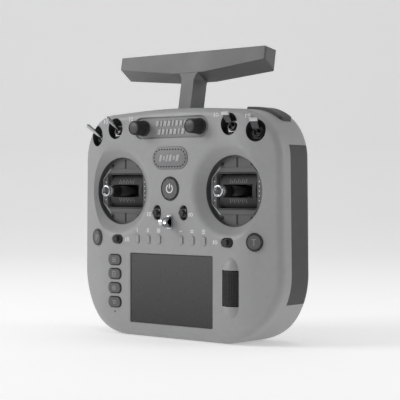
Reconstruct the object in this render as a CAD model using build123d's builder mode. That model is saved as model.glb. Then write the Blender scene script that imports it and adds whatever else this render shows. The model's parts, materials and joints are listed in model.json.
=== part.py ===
"""Handheld radio-control transmitter with two gimbal sticks, a colour screen and a folding T antenna.

Millimetres. The origin is the middle of the flat bottom face, +Z is up, +X is the user's right and
the front face looks along -Y. Depths are measured back from the plane of the front face.
"""
from build123d import *
import math
import os

os.makedirs("parts", exist_ok=True)

# ---------------------------------------------------------------- case
CASE_W = 187.4              # width across the bottom half
SIDE_TAPER = 4.4            # narrower than that across the shoulders
CASE_H = 163.7              # height on the centre line
CROWN_RISE = 5.1            # fall of the crowned top to where it would meet the sides
CASE_D = 46.0               # thickness on the centre line
FACE_Y = -28.0              # plane of the front face
WALL = 2.5
BOTTOM_CORNER_R = 48.0
TOP_CORNER_R = 34.0
CROWN_R = 600.0
FLAT_HALF = CASE_W / 2 - 27.7   # half width of the flat middle of the face
FLARE = 16.0                # degrees that each side of the face falls back
FLARE_R = 60.0
BACK_HALF = CASE_W / 2 - 23.7   # half width of the flat middle of the back
BACK_FLARE = 14.6
BACK_FLARE_R = 40.0
FRONT_EDGE_R = 6.0
BACK_EDGE_R = 6.5
PART_DEPTH = 18.0           # depth of the joint between the two shells
OUTSIDE = 30.0              # how far cutting tools reach past the case

# ---------------------------------------------------------------- fits
KEY_GAP = 0.3               # round a key in its hole
SEAT_GAP = 0.15             # round a fixed insert
RUN_GAP = 0.05              # radial, a pin or a shaft in its hole
MOVE_GAP = 0.3              # beside a moving face
FLANGE = 1.2                # lip that keeps a key in its hole
FLANGE_T = 1.0
EDGE_BREAK = 0.4            # bevel round every opening in the face

# ---------------------------------------------------------------- gimbals
GIMBAL_X = 52.7
GIMBAL_Z = 104.5
DISH_R = 31.8               # where the cone of the dish meets the face
DISH_BLEND_R = 8.0
HOLE_R = 24.2               # round opening
HOLE_DEPTH = 6.4
HOLE_EDGE_R = 0.7
TUBE_T = 2.4
PLATE_DEPTH = 10.0          # front of the gimbal plate
PLATE_T = 2.0
PLATE_R = 26.6
WINDOW_W = 34.0
WINDOW_H = 24.0
WINDOW_R = 2.0
PIVOT_DEPTH = 28.0          # both stick axes cross here
SHUTTER_R = 18.0
SHUTTER_T = 1.6
SHUTTER_W = 32.0
SHUTTER_ARC = 66.0          # degrees each side of the middle
STICK_SLOT_W = 26.0
STICK_SLOT_H = 9.0
END_WALL_T = 1.6
FRAME_WALL = 3.2
FRAME_BACK = 36.0
YOKE_PIN_R = 2.0
HUB_R = 5.0
HUB_H = 18.0
CHEEK_T = 2.0
CHEEK_DEEP = 4.0
HUB_PIN_R = 1.5
SHAFT_R = 3.5
COLLAR_R = 3.75
COLLAR_FRONT = -6.0
COLLAR_BACK = 2.5
TIP_R = 4.0
TIP_FRONT = -11.0
TIP_BORE_R = 1.6
STICK_TENON_R = 2.0

# ---------------------------------------------------------------- screen
SCREEN_Z = 34.8
SCREEN_W = 77.6
SCREEN_H = 50.0
SCREEN_SINK = 0.8
DISPLAY_EDGE = 3.0
DISPLAY_T = 5.0

# ---------------------------------------------------------------- controls on the face
KNOB_X = 26.3
KNOB_Z = CASE_H - 14.4
KNOB_R = 5.0
KNOB_BASE_R = 5.75
KNOB_FRONT = -10.0
POT_SHAFT_R = 3.0
POT_R = 7.5
POT_T = 7.0
PANEL_R = 7.5               # stadium recess behind the knobs
PANEL_SPAN = 55.0
PANEL_SINK = 1.6

SWITCH_LEAN = 20.0          # degrees that the switch axes look up
SWITCH_IN = (53.5, CASE_H - 13.7)
SWITCH_OUT = (CASE_W / 2 - 19.2, CASE_H - 18.5)
WELL_R = 7.2
WELL_DEPTH = 6.0
WELL_WALL = 2.0
BUSH_R = 3.2
BUSH_BORE_R = 2.5
BUSH_PROUD = 3.0
NUT_FLATS = 8.6
NUT_T = 1.6
SWITCH_BODY = (12.6, 8.0, 9.0)
BALL_R = 2.2
LEVER_PIVOT = 0.4           # pivot above the well floor
LEVER_BASE_R = 1.15
LEVER_TIP_R = 1.6
LEVER_LEN = 16.0
LEVER_TILT = 15.0           # degrees up at rest, and the same down at the other end
PADDLE_W = 5.3
PADDLE_T = 1.8
PADDLE_BEND = 14.0          # degrees that the paddle turns up from its stem
PADDLE_STEM = 6.0
PADDLE_LEN = 8.0

POWER_Z = 106.1
POWER_R = 7.15
BADGE_Z = 127.7
BADGE_W = 33.0
BADGE_H = 15.6
BADGE_PROUD = 0.5
SPEAKER_R = 11.0
SPEAKER_T = 6.0

TRIM_UP = (12.4, 89.2)      # pair that tilts up and down
TRIM_SIDE = (51.6, 69.5)    # pair that tilts sideways
TRIM_W = 6.5
TRIM_L = 10.5
TRIM_R = 4.6
TRIM_AXIS_DEPTH = 4.2
TRIM_NUB_R = 2.1
TRIM_NUB_FRONT = -2.8
TRIM_CUP_WALL = 1.4
TRIM_CUP_DEPTH = 9.0
TRIM_PIN_R = 1.0

HOOK_Z = 82.7
HOOK_REACH = 10.6
HOOK_FOOT = 3.6
HOOK_T = 2.8
HOOK_EYE_R = 1.7
HOOK_RIM = 1.3
HOOK_STEM_R = 2.0

POSITION_X = (-31.3, -20.8, -10.5, 10.5, 20.8, 31.3)
POSITION_Z = 70.0
POSITION_KEY = (3.4, 6.0)
MENU_X = -54.0
MENU_TOP_Z = 54.3
MENU_PITCH = 10.27
MENU_COUNT = 4
MENU_KEY = (12.0, 7.0)
ROUND_X = CASE_W / 2 - 20.1
ROUND_Z = 70.2
ROUND_R = 5.75
MIC_Z = 16.5
MIC_R = 0.7

ROLLER_X = 54.7
ROLLER_Z = 38.5
ROLLER_R = 8.8
ROLLER_L = 23.8             # its axle stands upright
ROLLER_PROUD = 3.0
ROLLER_GAP = 0.35
ROLLER_SLOT = (13.8, 24.6)
ROLLER_AXLE_R = 2.0
HOOD_L = 41.4               # over both domes above and below the roller
CARRIER_T = 1.6
CARRIER_W = 12.0
CARRIER_FRONT = 2.9         # ahead of the axle
CARRIER_BAR_T = 2.0

# ---------------------------------------------------------------- shoulder keys
SHOULDER_IN = (CASE_W / 2 - 44.7, CASE_H - 2.4)
SHOULDER_OUT = (CASE_W / 2 - 13.7, CASE_H - 12.2)
SHOULDER_DEPTH = 29.5       # middle of the key, behind the face
SHOULDER_W = 12.5
SHOULDER_PROUD = 2.0
SHOULDER_ROOT = 5.0

# ---------------------------------------------------------------- side grips
GRIP_LOW = 27.6
GRIP_HIGH = 135.6
GRIP_IN = CASE_W / 2 - 19.7     # grips cover the case outside this half width
GRIP_T = 1.6
GRIP_CORNER_R = 4.0

# ---------------------------------------------------------------- antenna
ANT_PIVOT_DEPTH = 21.3
ANT_PIVOT_Z = CASE_H - 7.7
ANT_LEAN = 10.0
ANT_W = 11.5
ANT_DEEP = 14.6
ANT_PIN_R = 1.5
ANT_SLOT_GAP = 0.5
ANT_SLOT_WALL = 2.2
ANT_TOP = 47.3              # top of the bar above the pivot, along the lean
ANT_BAR_HALF = 68.5
ANT_END_DEEP = 12.0         # bar thickness at its ends
ANT_BAR_FRONT = 7.6         # front of the bar ahead of the leaning centre plane
ANT_END_FRONT_H = 9.0
ANT_END_BACK_H = 15.0
ANT_MID_HALF = 15.0
ANT_MID_FRONT_H = 15.0
ANT_MID_BACK_H = 19.0
ANT_NECK_R = 8.0

# ---------------------------------------------------------------- back
BATTERY_Z = 37.0
BATTERY_BAY = (80.0, 46.0)
BATTERY_BAY_DEEP = 21.5
CELL_R = 9.2
CELL_L = 70.0
DOOR_T = 2.0
DOOR_LEDGE = 3.5
BAY_WALL = 4.0
MODULE_Z = 100.0
MODULE_BAY = (40.0, 46.0)
MODULE_BAY_DEEP = 12.0
CONNECTOR = (22.0, 5.0, 6.0)
FOOT_X = 52.0
FOOT_Z = (14.0, 132.0)
FOOT_R = 4.0
FOOT_T = 1.2
FOOT_SINK = 0.6

# ---------------------------------------------------------------- inside
BOARD_DEPTH = 12.0
BOARD_T = 1.6
BOARD_LOW = (-62.0, 13.5, 43.0, 74.0)     # left, bottom, right, top of the lower part
BOARD_COLUMN = (22.0, 137.0)              # half width and top of the part between the gimbals
BOARD_POSTS = ((-18.0, 132.0), (18.0, 132.0), (-58.0, 62.0), (40.5, 66.5), (-45.0, 15.5))
BOARD_POST_R = 2.0
SCREWS = ((40.0, CASE_H - 10.7), (CASE_W / 2 - 24.2, 56.0), (48.0, 8.5))
POST_R = 3.4
SCREW_R = 1.25
SCREW_HEAD_R = 2.4
SCREW_HEAD_T = 1.6
SCREW_CLEAR_R = 1.5
SCREW_SEAT_DEPTH = 38.5     # where the heads bear, behind the face
SCREW_BITE = 8.0
USB_DEPTH = 24.0
USB = (9.0, 3.2, 7.0)
USB_WALL = 0.3

BACK_Y = FACE_Y + CASE_D
BOTH = (-1, 1)
# the blend lies this far inside the corner
FLARE_SAG = FLARE_R / math.cos(math.radians(FLARE / 2)) - FLARE_R


def tan(angle):
    """Tangent of an angle in degrees."""
    return math.tan(math.radians(angle))


def face_plane(depth=0.0):
    """Plane parallel to the face, its local x and y along X and Z and its normal to the user."""
    return Plane(origin=(0, FACE_Y + depth, 0), x_dir=(1, 0, 0), z_dir=(0, -1, 0))


def face_fall(x):
    """How far the flared face lies behind the front plane at x."""
    return max(0.0, abs(x) - FLAT_HALF) * tan(FLARE)


def facing_plane(origin, x, lean):
    """Plane that turns outward with the flare of the face at x, and up by lean degrees."""
    turn = math.radians(FLARE if abs(x) > FLAT_HALF else 0.0) * (1 if x > 0 else -1)
    tip = math.radians(lean)
    normal = Vector(math.sin(turn) * math.cos(tip), -math.cos(turn) * math.cos(tip), math.sin(tip))
    along = Vector(math.cos(turn), math.sin(turn), 0)
    return Plane(origin=origin, x_dir=along, z_dir=normal)


def control_plane(x, z, lean=0.0, lift=0.0):
    """Plane at the point (x, z) of the face, lifted along its own normal."""
    return facing_plane(Vector(x, FACE_Y + face_fall(x), z), x, lean).offset(lift)


def well_plane(x, z, lift=0.0):
    """Plane on the floor of a switch well, lifted along the axis of the switch."""
    return control_plane(x, z, SWITCH_LEAN, lift - WELL_DEPTH)


def lever_plane(x, z):
    """Plane at the pivot of a switch lever, its normal along the resting lever."""
    return facing_plane(well_plane(x, z, LEVER_PIVOT).origin, x, SWITCH_LEAN + LEVER_TILT)


def round_plane(x, z):
    """Half-plane for turned profiles: local x is the radius and local y the depth behind the face."""
    return Plane(origin=(x, FACE_Y, z), x_dir=(1, 0, 0), z_dir=(0, 0, 1))


def depth_axis(x, z):
    """Axis square to the face through (x, z)."""
    return Axis((x, FACE_Y, z), (0, 1, 0))


def side_plane(x):
    """Plane across the case: local x is the depth behind the face and local y is Z."""
    return Plane(origin=(x, FACE_Y, 0), x_dir=(0, 1, 0), z_dir=(1, 0, 0))


def case_body(inset):
    """Closed body of the case with its skin the given distance inside the outer surface."""
    half = CASE_W / 2 - inset
    half_top = half - SIDE_TAPER / 2
    shoulder = CASE_H - CROWN_RISE - inset
    reach = CASE_W / 2 + OUTSIDE * 0.6
    front = FACE_Y + inset
    front_side = front + (reach - FLAT_HALF) * tan(FLARE)
    back = BACK_Y - inset
    back_side = back - (reach - BACK_HALF) * tan(BACK_FLARE)
    with BuildPart() as body:
        with BuildSketch(face_plane(-OUTSIDE)):
            with BuildLine():
                FilletPolyline(
                    (-half, inset),
                    (half, inset),
                    (half_top, shoulder),
                    (0, CASE_H - inset),
                    (-half_top, shoulder),
                    radius=[
                        BOTTOM_CORNER_R - inset,
                        BOTTOM_CORNER_R - inset,
                        TOP_CORNER_R - inset,
                        CROWN_R,
                        TOP_CORNER_R - inset,
                    ],
                    close=True,
                )
            make_face()
        extrude(amount=-(CASE_D + 2 * OUTSIDE))
        with BuildSketch(Plane.XY.offset(-OUTSIDE)):
            with BuildLine():
                FilletPolyline(
                    (-reach, front_side),
                    (-FLAT_HALF, front),
                    (FLAT_HALF, front),
                    (reach, front_side),
                    (reach, back_side),
                    (BACK_HALF, back),
                    (-BACK_HALF, back),
                    (-reach, back_side),
                    radius=[0, FLARE_R, FLARE_R, 0, 0, BACK_FLARE_R, BACK_FLARE_R, 0],
                    close=True,
                )
            make_face()
        extrude(amount=CASE_H + 2 * OUTSIDE, mode=Mode.INTERSECT)
        middle = FACE_Y + CASE_D / 2
        rim = body.edges().filter_by(Axis.Z, reverse=True).filter_by(Axis.Y, reverse=True)
        fillet(rim.filter_by(lambda e: e.center().Y < middle), FRONT_EDGE_R - inset * 0.8)
        rim = body.edges().filter_by(Axis.Z, reverse=True).filter_by(Axis.Y, reverse=True)
        fillet(rim.filter_by(lambda e: e.center().Y > middle + CASE_D * 0.2), BACK_EDGE_R - inset * 0.8)
    return body.part


# ---------------------------------------------------------------- outlines shared by a key and its hole
def draw_circle(radius):
    """Outline of a round key."""
    return lambda grow: Circle(radius + grow)


def draw_rounded(width, height, corner):
    """Outline of a rectangular key with round corners."""
    return lambda grow: RectangleRounded(width + 2 * grow, height + 2 * grow, corner + grow)


position_outline = draw_rounded(*POSITION_KEY, 1.2)
menu_outline = draw_rounded(*MENU_KEY, 3.0)
round_outline = draw_circle(ROUND_R)
power_outline = draw_circle(POWER_R)

SWITCHES = {
    "a": (-SWITCH_OUT[0], SWITCH_OUT[1]),
    "b": (-SWITCH_IN[0], SWITCH_IN[1]),
    "c": SWITCH_IN,
    "d": SWITCH_OUT,
}
TRIMS = {
    "left_pitch": (-TRIM_UP[0], TRIM_UP[1], 90),
    "right_pitch": (TRIM_UP[0], TRIM_UP[1], 90),
    "left_roll": (-TRIM_SIDE[0], TRIM_SIDE[1], 0),
    "right_roll": (TRIM_SIDE[0], TRIM_SIDE[1], 0),
}
MENU_Z = [MENU_TOP_Z - MENU_PITCH * i for i in range(MENU_COUNT)]
KEY_HOLES = (
    [(control_plane(x, POSITION_Z), position_outline) for x in POSITION_X]
    + [(control_plane(MENU_X, z), menu_outline) for z in MENU_Z]
    + [(control_plane(s * ROUND_X, ROUND_Z), round_outline) for s in BOTH]
    + [(control_plane(0, POWER_Z), power_outline)]
)

outer = case_body(0)
inner = case_body(WALL)
joint_plane = face_plane(PART_DEPTH)




def save(piece, name):
    """Label a finished piece and write it as the node of that name."""
    piece.label = name
    export_step(piece, f"parts/{name}.step")


# ---------------------------------------------------------------- front shell
ant_margin = ANT_SLOT_GAP + ANT_SLOT_WALL
with BuildPart() as front_bosses:
    for x in (-GIMBAL_X, GIMBAL_X):
        with BuildSketch(round_plane(x, GIMBAL_Z)):
            Polygon(
                (HOLE_R, 0),
                (DISH_R + 3.0, 0),
                (DISH_R + 3.0, WALL),
                (HOLE_R + TUBE_T, HOLE_DEPTH + 2.0),
                (HOLE_R + TUBE_T, PLATE_DEPTH),
                (HOLE_R, PLATE_DEPTH),
                align=None,
            )
        revolve(axis=depth_axis(x, GIMBAL_Z))
    for x, z in SWITCHES.values():
        with BuildSketch(well_plane(x, z, -WELL_WALL)):
            Circle(WELL_R + WELL_WALL)
        extrude(amount=WELL_DEPTH + WELL_WALL + OUTSIDE)
    with BuildSketch(face_plane(PANEL_SINK + WALL)):
        with Locations((0, KNOB_Z)):
            SlotCenterToCenter(PANEL_SPAN, 2 * (PANEL_R + WALL))
    extrude(amount=WALL)
    for x, z, turn in TRIMS.values():
        with BuildSketch(face_plane(TRIM_CUP_DEPTH)):
            with Locations((x, z)):
                SlotOverall(TRIM_L + 2 * TRIM_CUP_WALL, TRIM_W + 2 * TRIM_CUP_WALL, rotation=turn)
        extrude(amount=TRIM_CUP_DEPTH - WALL / 2)
    with BuildSketch(joint_plane):
        with Locations(*[(s * x, z) for x, z in SCREWS for s in BOTH]):
            Circle(POST_R)
    extrude(amount=PART_DEPTH)
    with BuildSketch(face_plane(BOARD_DEPTH)):
        with Locations(*BOARD_POSTS):
            Circle(BOARD_POST_R)
    extrude(amount=BOARD_DEPTH - WALL / 2)
    for side in BOTH:
        rib_z = ROLLER_Z + side * (ROLLER_L / 2 + 2 * MOVE_GAP + CARRIER_T + CARRIER_T / 2 + MOVE_GAP)
        with BuildSketch(joint_plane):
            with Locations((ROLLER_X, rib_z)):
                Rectangle(CARRIER_W, CARRIER_T)
        extrude(amount=PART_DEPTH - WALL / 2)
    with BuildSketch(joint_plane):
        with Locations((0, ANT_PIVOT_Z)):
            Rectangle(ANT_W + 2 * ant_margin, ANT_DEEP + 2 * ant_margin)
    extrude(amount=PART_DEPTH - ANT_PIVOT_DEPTH + ANT_DEEP / 2 + ANT_SLOT_GAP + ANT_SLOT_WALL)
    add(outer, mode=Mode.INTERSECT)

roller_depth = ROLLER_R - ROLLER_PROUD
roller_axis = Axis((ROLLER_X, FACE_Y + roller_depth, 0), (0, 0, 1))
with BuildPart() as roller_hood:
    slot_half = ROLLER_SLOT[1] / 2
    run = HOOD_L / 2 - slot_half
    dome_r = (run ** 2 + ROLLER_PROUD ** 2) / (2 * ROLLER_PROUD)
    dome_mid = dome_r - ROLLER_PROUD - math.sqrt(dome_r ** 2 - (run / 2) ** 2)
    low, high = ROLLER_Z - slot_half, ROLLER_Z + slot_half
    with BuildSketch(side_plane(ROLLER_X)):
        with BuildLine():
            Line((roller_depth, low - run), (0, low - run))
            ThreePointArc((0, low - run), (dome_mid, low - run / 2), (-ROLLER_PROUD, low))
            Line((-ROLLER_PROUD, low), (-ROLLER_PROUD, high))
            ThreePointArc((-ROLLER_PROUD, high), (dome_mid, high + run / 2), (0, high + run))
            Line((0, high + run), (roller_depth, high + run))
            Line((roller_depth, high + run), (roller_depth, low - run))
        make_face()
    revolve(axis=roller_axis, revolution_arc=360)
    with BuildSketch(face_plane(WALL / 2)):
        with Locations((ROLLER_X, ROLLER_Z)):
            Rectangle(4 * ROLLER_R, 2 * HOOD_L)
    extrude(amount=OUTSIDE, mode=Mode.INTERSECT)

with BuildPart() as antenna_slot:
    slot_low = ANT_PIVOT_Z - ANT_DEEP / 2 - ANT_SLOT_GAP
    slot_front = ANT_PIVOT_DEPTH - ANT_DEEP / 2 - ANT_SLOT_GAP
    with BuildSketch(side_plane(-ANT_W / 2 - ANT_SLOT_GAP)):
        with Locations((slot_front, slot_low)):
            Rectangle(CASE_D, OUTSIDE, align=(Align.MIN, Align.MIN))
    extrude(amount=ANT_W + 2 * ANT_SLOT_GAP)

with BuildPart() as front_shell:
    add(outer)
    add(inner, mode=Mode.SUBTRACT)
    add(front_bosses.part)
    add(roller_hood.part)
    for x in (-GIMBAL_X, GIMBAL_X):
        with BuildSketch(round_plane(x, GIMBAL_Z)):
            with BuildLine():
                edge = FilletPolyline(
                    (HOLE_R, PLATE_DEPTH + 1.0),
                    (HOLE_R, HOLE_DEPTH),
                    (DISH_R, 0),
                    (DISH_R + 3.0, 0),
                    radius=[HOLE_EDGE_R, DISH_BLEND_R],
                )
                Polyline(edge @ 1, (DISH_R + 3.0, -OUTSIDE), (0, -OUTSIDE), (0, PLATE_DEPTH + 1.0), edge @ 0)
            make_face()
        revolve(axis=depth_axis(x, GIMBAL_Z), mode=Mode.SUBTRACT)
    for x, z in SWITCHES.values():
        with BuildSketch(well_plane(x, z)):
            Circle(WELL_R)
        extrude(amount=OUTSIDE, mode=Mode.SUBTRACT)
        with BuildSketch(well_plane(x, z)):
            Circle(BUSH_R + RUN_GAP)
        extrude(amount=-WELL_WALL, mode=Mode.SUBTRACT)
    with BuildSketch(face_plane(PANEL_SINK)):
        with Locations((0, KNOB_Z)):
            SlotCenterToCenter(PANEL_SPAN, 2 * PANEL_R)
    extrude(amount=OUTSIDE, mode=Mode.SUBTRACT)
    with BuildSketch(face_plane(PANEL_SINK + WALL)):
        with Locations((-KNOB_X, KNOB_Z), (KNOB_X, KNOB_Z)):
            Circle(POT_SHAFT_R + 0.5 + RUN_GAP)
    extrude(amount=OUTSIDE, mode=Mode.SUBTRACT)
    for x, z, turn in TRIMS.values():
        with BuildSketch(face_plane(TRIM_CUP_DEPTH)):
            with Locations((x, z)):
                SlotOverall(TRIM_L, TRIM_W, rotation=turn)
        extrude(amount=OUTSIDE, mode=Mode.SUBTRACT)
        pin_plane = Plane(origin=(x, FACE_Y + TRIM_AXIS_DEPTH, z),
                          z_dir=(1, 0, 0) if turn else (0, 0, 1))
        with BuildSketch(pin_plane):
            Circle(TRIM_PIN_R + RUN_GAP)
        extrude(amount=TRIM_W / 2 + TRIM_CUP_WALL, both=True, mode=Mode.SUBTRACT)
    with BuildSketch(face_plane(WALL * 2)):
        with Locations((0, SCREEN_Z)):
            RectangleRounded(SCREEN_W, SCREEN_H, 1.0)
        with Locations((0, BADGE_Z)):
            SlotOverall(BADGE_W + 2 * SEAT_GAP, BADGE_H + 2 * SEAT_GAP)
        with Locations((ROLLER_X, ROLLER_Z)):
            Rectangle(*ROLLER_SLOT)
        with Locations((MENU_X, MIC_Z)):
            Circle(MIC_R)
        with Locations((0, HOOK_Z)):
            Circle(HOOK_STEM_R + SEAT_GAP)
    extrude(amount=OUTSIDE, mode=Mode.SUBTRACT)
    for plane, outline in KEY_HOLES:
        with BuildSketch(plane.offset(-WALL * 1.5)):
            outline(KEY_GAP)
        extrude(amount=OUTSIDE, mode=Mode.SUBTRACT)
        with BuildSketch(plane):
            outline(KEY_GAP + EDGE_BREAK)
        extrude(amount=-EDGE_BREAK, taper=45, mode=Mode.SUBTRACT)
    with BuildSketch(face_plane(0)):
        with Locations((0, SCREEN_Z)):
            RectangleRounded(SCREEN_W + 2 * EDGE_BREAK, SCREEN_H + 2 * EDGE_BREAK, 1.0 + EDGE_BREAK)
        with Locations((0, KNOB_Z)):
            SlotCenterToCenter(PANEL_SPAN, 2 * (PANEL_R + EDGE_BREAK))
        for x, z, turn in TRIMS.values():
            with Locations((x, z)):
                SlotOverall(TRIM_L + 2 * EDGE_BREAK, TRIM_W + 2 * EDGE_BREAK, rotation=turn)
    extrude(amount=-EDGE_BREAK, taper=45, mode=Mode.SUBTRACT)
    with BuildSketch(joint_plane):
        with Locations(*[(s * x, z) for x, z in SCREWS for s in BOTH]):
            Circle(SCREW_R + RUN_GAP)
    extrude(amount=SCREW_BITE + 1.0, mode=Mode.SUBTRACT)
    with BuildSketch(Plane.XY.offset(ROLLER_Z - ROLLER_SLOT[1] / 2)):
        with Locations((ROLLER_X, FACE_Y + roller_depth)):
            Circle(ROLLER_R + ROLLER_GAP)
    extrude(amount=ROLLER_SLOT[1], mode=Mode.SUBTRACT)
    add(antenna_slot.part, mode=Mode.SUBTRACT)
    split(bisect_by=joint_plane, keep=Keep.TOP)
save(front_shell.part, "front_shell")


# ---------------------------------------------------------------- side grips
def grip_region(grow):
    """Blocks that hold the two side grips."""
    with BuildPart() as region:
        for side in BOTH:
            with BuildSketch(side_plane(side * GRIP_IN - side * grow)):
                with Locations((PART_DEPTH, (GRIP_LOW + GRIP_HIGH) / 2)):
                    RectangleRounded(
                        2 * CASE_D,
                        GRIP_HIGH - GRIP_LOW + 2 * grow,
                        GRIP_CORNER_R,
                    )
            extrude(amount=side * OUTSIDE)
        split(bisect_by=joint_plane, keep=Keep.BOTTOM)
    return region.part


under_grip = case_body(GRIP_T)
under_grip_wall = case_body(GRIP_T + WALL)

for side, name in zip(BOTH, ("grip_left", "grip_right")):
    with BuildPart() as grip:
        add(outer)
        add(grip_region(-SEAT_GAP), mode=Mode.INTERSECT)
        add(under_grip, mode=Mode.SUBTRACT)
        split(bisect_by=Plane.YZ, keep=Keep.TOP if side > 0 else Keep.BOTTOM)
    save(grip.part, name)


# ---------------------------------------------------------------- shoulder keys
def shoulder_plane(side):
    """Plane on a top corner of the case, its normal along the key's travel."""
    (x_in, z_in), (x_out, z_out) = SHOULDER_IN, SHOULDER_OUT
    middle = Vector(side * (x_in + x_out) / 2, FACE_Y + SHOULDER_DEPTH, (z_in + z_out) / 2)
    along = Vector(x_out - x_in, 0, side * (z_out - z_in))
    normal = Vector(-along.Z, 0, along.X)
    return Plane(origin=middle, x_dir=along, z_dir=normal)


SHOULDER_L = math.dist(SHOULDER_IN, SHOULDER_OUT)
shoulder_outline = draw_rounded(SHOULDER_L, SHOULDER_W, 3.0)


def shoulder_block(side, grow):
    """Prism of a shoulder key along its travel."""
    with BuildPart() as block:
        with BuildSketch(shoulder_plane(side)):
            shoulder_outline(grow)
        extrude(amount=OUTSIDE / 2, both=True)
    return block.part


over_case = case_body(-SHOULDER_PROUD)
shoulder_core = case_body(SHOULDER_ROOT)
shoulder_lip = case_body(WALL + MOVE_GAP)

for side, name in zip(BOTH, ("shoulder_key_left", "shoulder_key_right")):
    with BuildPart() as lip:
        add(shoulder_block(side, FLANGE))
        add(shoulder_lip, mode=Mode.INTERSECT)
        add(shoulder_core, mode=Mode.SUBTRACT)
    with BuildPart() as shoulder_key:
        add(shoulder_block(side, 0))
        add(over_case, mode=Mode.INTERSECT)
        add(shoulder_core, mode=Mode.SUBTRACT)
        add(lip.part)
    save(shoulder_key.part, name)


# ---------------------------------------------------------------- back shell
def bay_box(size, z, deep):
    """Block sunk into the back of the case."""
    with BuildPart() as box:
        with BuildSketch(face_plane(CASE_D - deep)):
            with Locations((0, z)):
                Rectangle(*size)
        extrude(amount=-deep - OUTSIDE)
    return box.part


def grown(size, margin):
    """Width and height with the same margin on every side."""
    return (size[0] + 2 * margin, size[1] + 2 * margin)


BAYS = {
    "battery": (BATTERY_BAY, BATTERY_Z, BATTERY_BAY_DEEP),
    "module": (MODULE_BAY, MODULE_Z, MODULE_BAY_DEEP),
}

with BuildPart() as rear_bosses:
    for size, z, deep in BAYS.values():
        add(bay_box(grown(size, BAY_WALL), z, deep + BAY_WALL / 2))
    with BuildSketch(joint_plane):
        with Locations(*[(s * x, z) for x, z in SCREWS for s in BOTH]):
            Circle(POST_R)
        with Locations((0, ANT_PIVOT_Z)):
            Rectangle(ANT_W + 2 * ant_margin, ANT_DEEP + 2 * ant_margin)
    extrude(amount=-CASE_D)
    add(outer, mode=Mode.INTERSECT)

with BuildPart() as grip_backing:
    add(under_grip)
    add(grip_region(WALL), mode=Mode.INTERSECT)
    add(under_grip_wall, mode=Mode.SUBTRACT)

with BuildPart() as rear_shell:
    add(outer)
    add(inner, mode=Mode.SUBTRACT)
    add(grip_backing.part)
    with BuildPart(mode=Mode.PRIVATE) as grip_skin:
        add(grip_region(0))
        add(under_grip, mode=Mode.SUBTRACT)
    add(grip_skin.part, mode=Mode.SUBTRACT)
    add(rear_bosses.part)
    for size, z, deep in BAYS.values():
        add(bay_box(size, z, deep), mode=Mode.SUBTRACT)
        add(bay_box(grown(size, DOOR_LEDGE + SEAT_GAP), z, DOOR_T), mode=Mode.SUBTRACT)
    with BuildSketch(joint_plane):
        with Locations(*[(s * x, z) for x, z in SCREWS for s in BOTH]):
            Circle(SCREW_CLEAR_R)
    extrude(amount=-CASE_D, mode=Mode.SUBTRACT)
    with BuildSketch(face_plane(SCREW_SEAT_DEPTH)):
        with Locations(*[(s * x, z) for x, z in SCREWS for s in BOTH]):
            Circle(SCREW_HEAD_R + MOVE_GAP)
    extrude(amount=-CASE_D, mode=Mode.SUBTRACT)
    for side in BOTH:
        add(shoulder_block(side, KEY_GAP), mode=Mode.SUBTRACT)
    add(antenna_slot.part, mode=Mode.SUBTRACT)
    with BuildSketch(side_plane(0)):
        with Locations((ANT_PIVOT_DEPTH, ANT_PIVOT_Z)):
            Circle(ANT_PIN_R + RUN_GAP)
    extrude(amount=ANT_W / 2 + ANT_SLOT_GAP + ANT_SLOT_WALL, both=True, mode=Mode.SUBTRACT)
    with BuildSketch(Plane.XY):
        with Locations((0, FACE_Y + USB_DEPTH)):
            SlotOverall(USB[0] + 2 * SEAT_GAP, USB[1] + 2 * SEAT_GAP)
    extrude(amount=WALL * 1.5, both=True, mode=Mode.SUBTRACT)
    with BuildSketch(face_plane(CASE_D - FOOT_SINK)):
        with Locations(*[(s * FOOT_X, z) for z in FOOT_Z for s in BOTH]):
            Circle(FOOT_R + SEAT_GAP)
    extrude(amount=-OUTSIDE, mode=Mode.SUBTRACT)
    split(bisect_by=joint_plane, keep=Keep.BOTTOM)
save(rear_shell.part, "rear_shell")

for node, bay in (("battery_door", "battery"), ("module_cover", "module")):
    size, z, deep = BAYS[bay]
    with BuildPart() as cover:
        with BuildSketch(face_plane(CASE_D - DOOR_T)):
            with Locations((0, z)):
                RectangleRounded(*grown(size, DOOR_LEDGE), 1.0)
        extrude(amount=-DOOR_T)
        chamfer(cover.faces().sort_by(Axis.Y)[-1].edges(), DOOR_T / 5)
    save(cover.part, node)

with BuildPart() as battery_cells:
    cell_depth = CASE_D - BATTERY_BAY_DEEP + CELL_R + MOVE_GAP
    with BuildSketch(side_plane(0)):
        with Locations(*[(cell_depth, BATTERY_Z + s * (CELL_R + MOVE_GAP)) for s in BOTH]):
            Circle(CELL_R)
    extrude(amount=CELL_L / 2, both=True)
save(battery_cells.part, "battery_cells")

with BuildPart() as module_connector:
    with BuildSketch(face_plane(CASE_D - MODULE_BAY_DEEP)):
        with Locations((0, MODULE_Z - MODULE_BAY[1] / 2 + CONNECTOR[1])):
            Rectangle(CONNECTOR[0], CONNECTOR[1])
    extrude(amount=-CONNECTOR[2])
save(module_connector.part, "module_connector")

with BuildPart() as rear_feet:
    with BuildSketch(face_plane(CASE_D - FOOT_SINK)):
        with Locations(*[(s * FOOT_X, z) for z in FOOT_Z for s in BOTH]):
            Circle(FOOT_R)
    extrude(amount=-FOOT_T)
    chamfer(rear_feet.faces().group_by(Axis.Y)[-1].edges(), FOOT_T / 4)
save(rear_feet.part, "rear_feet")

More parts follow.
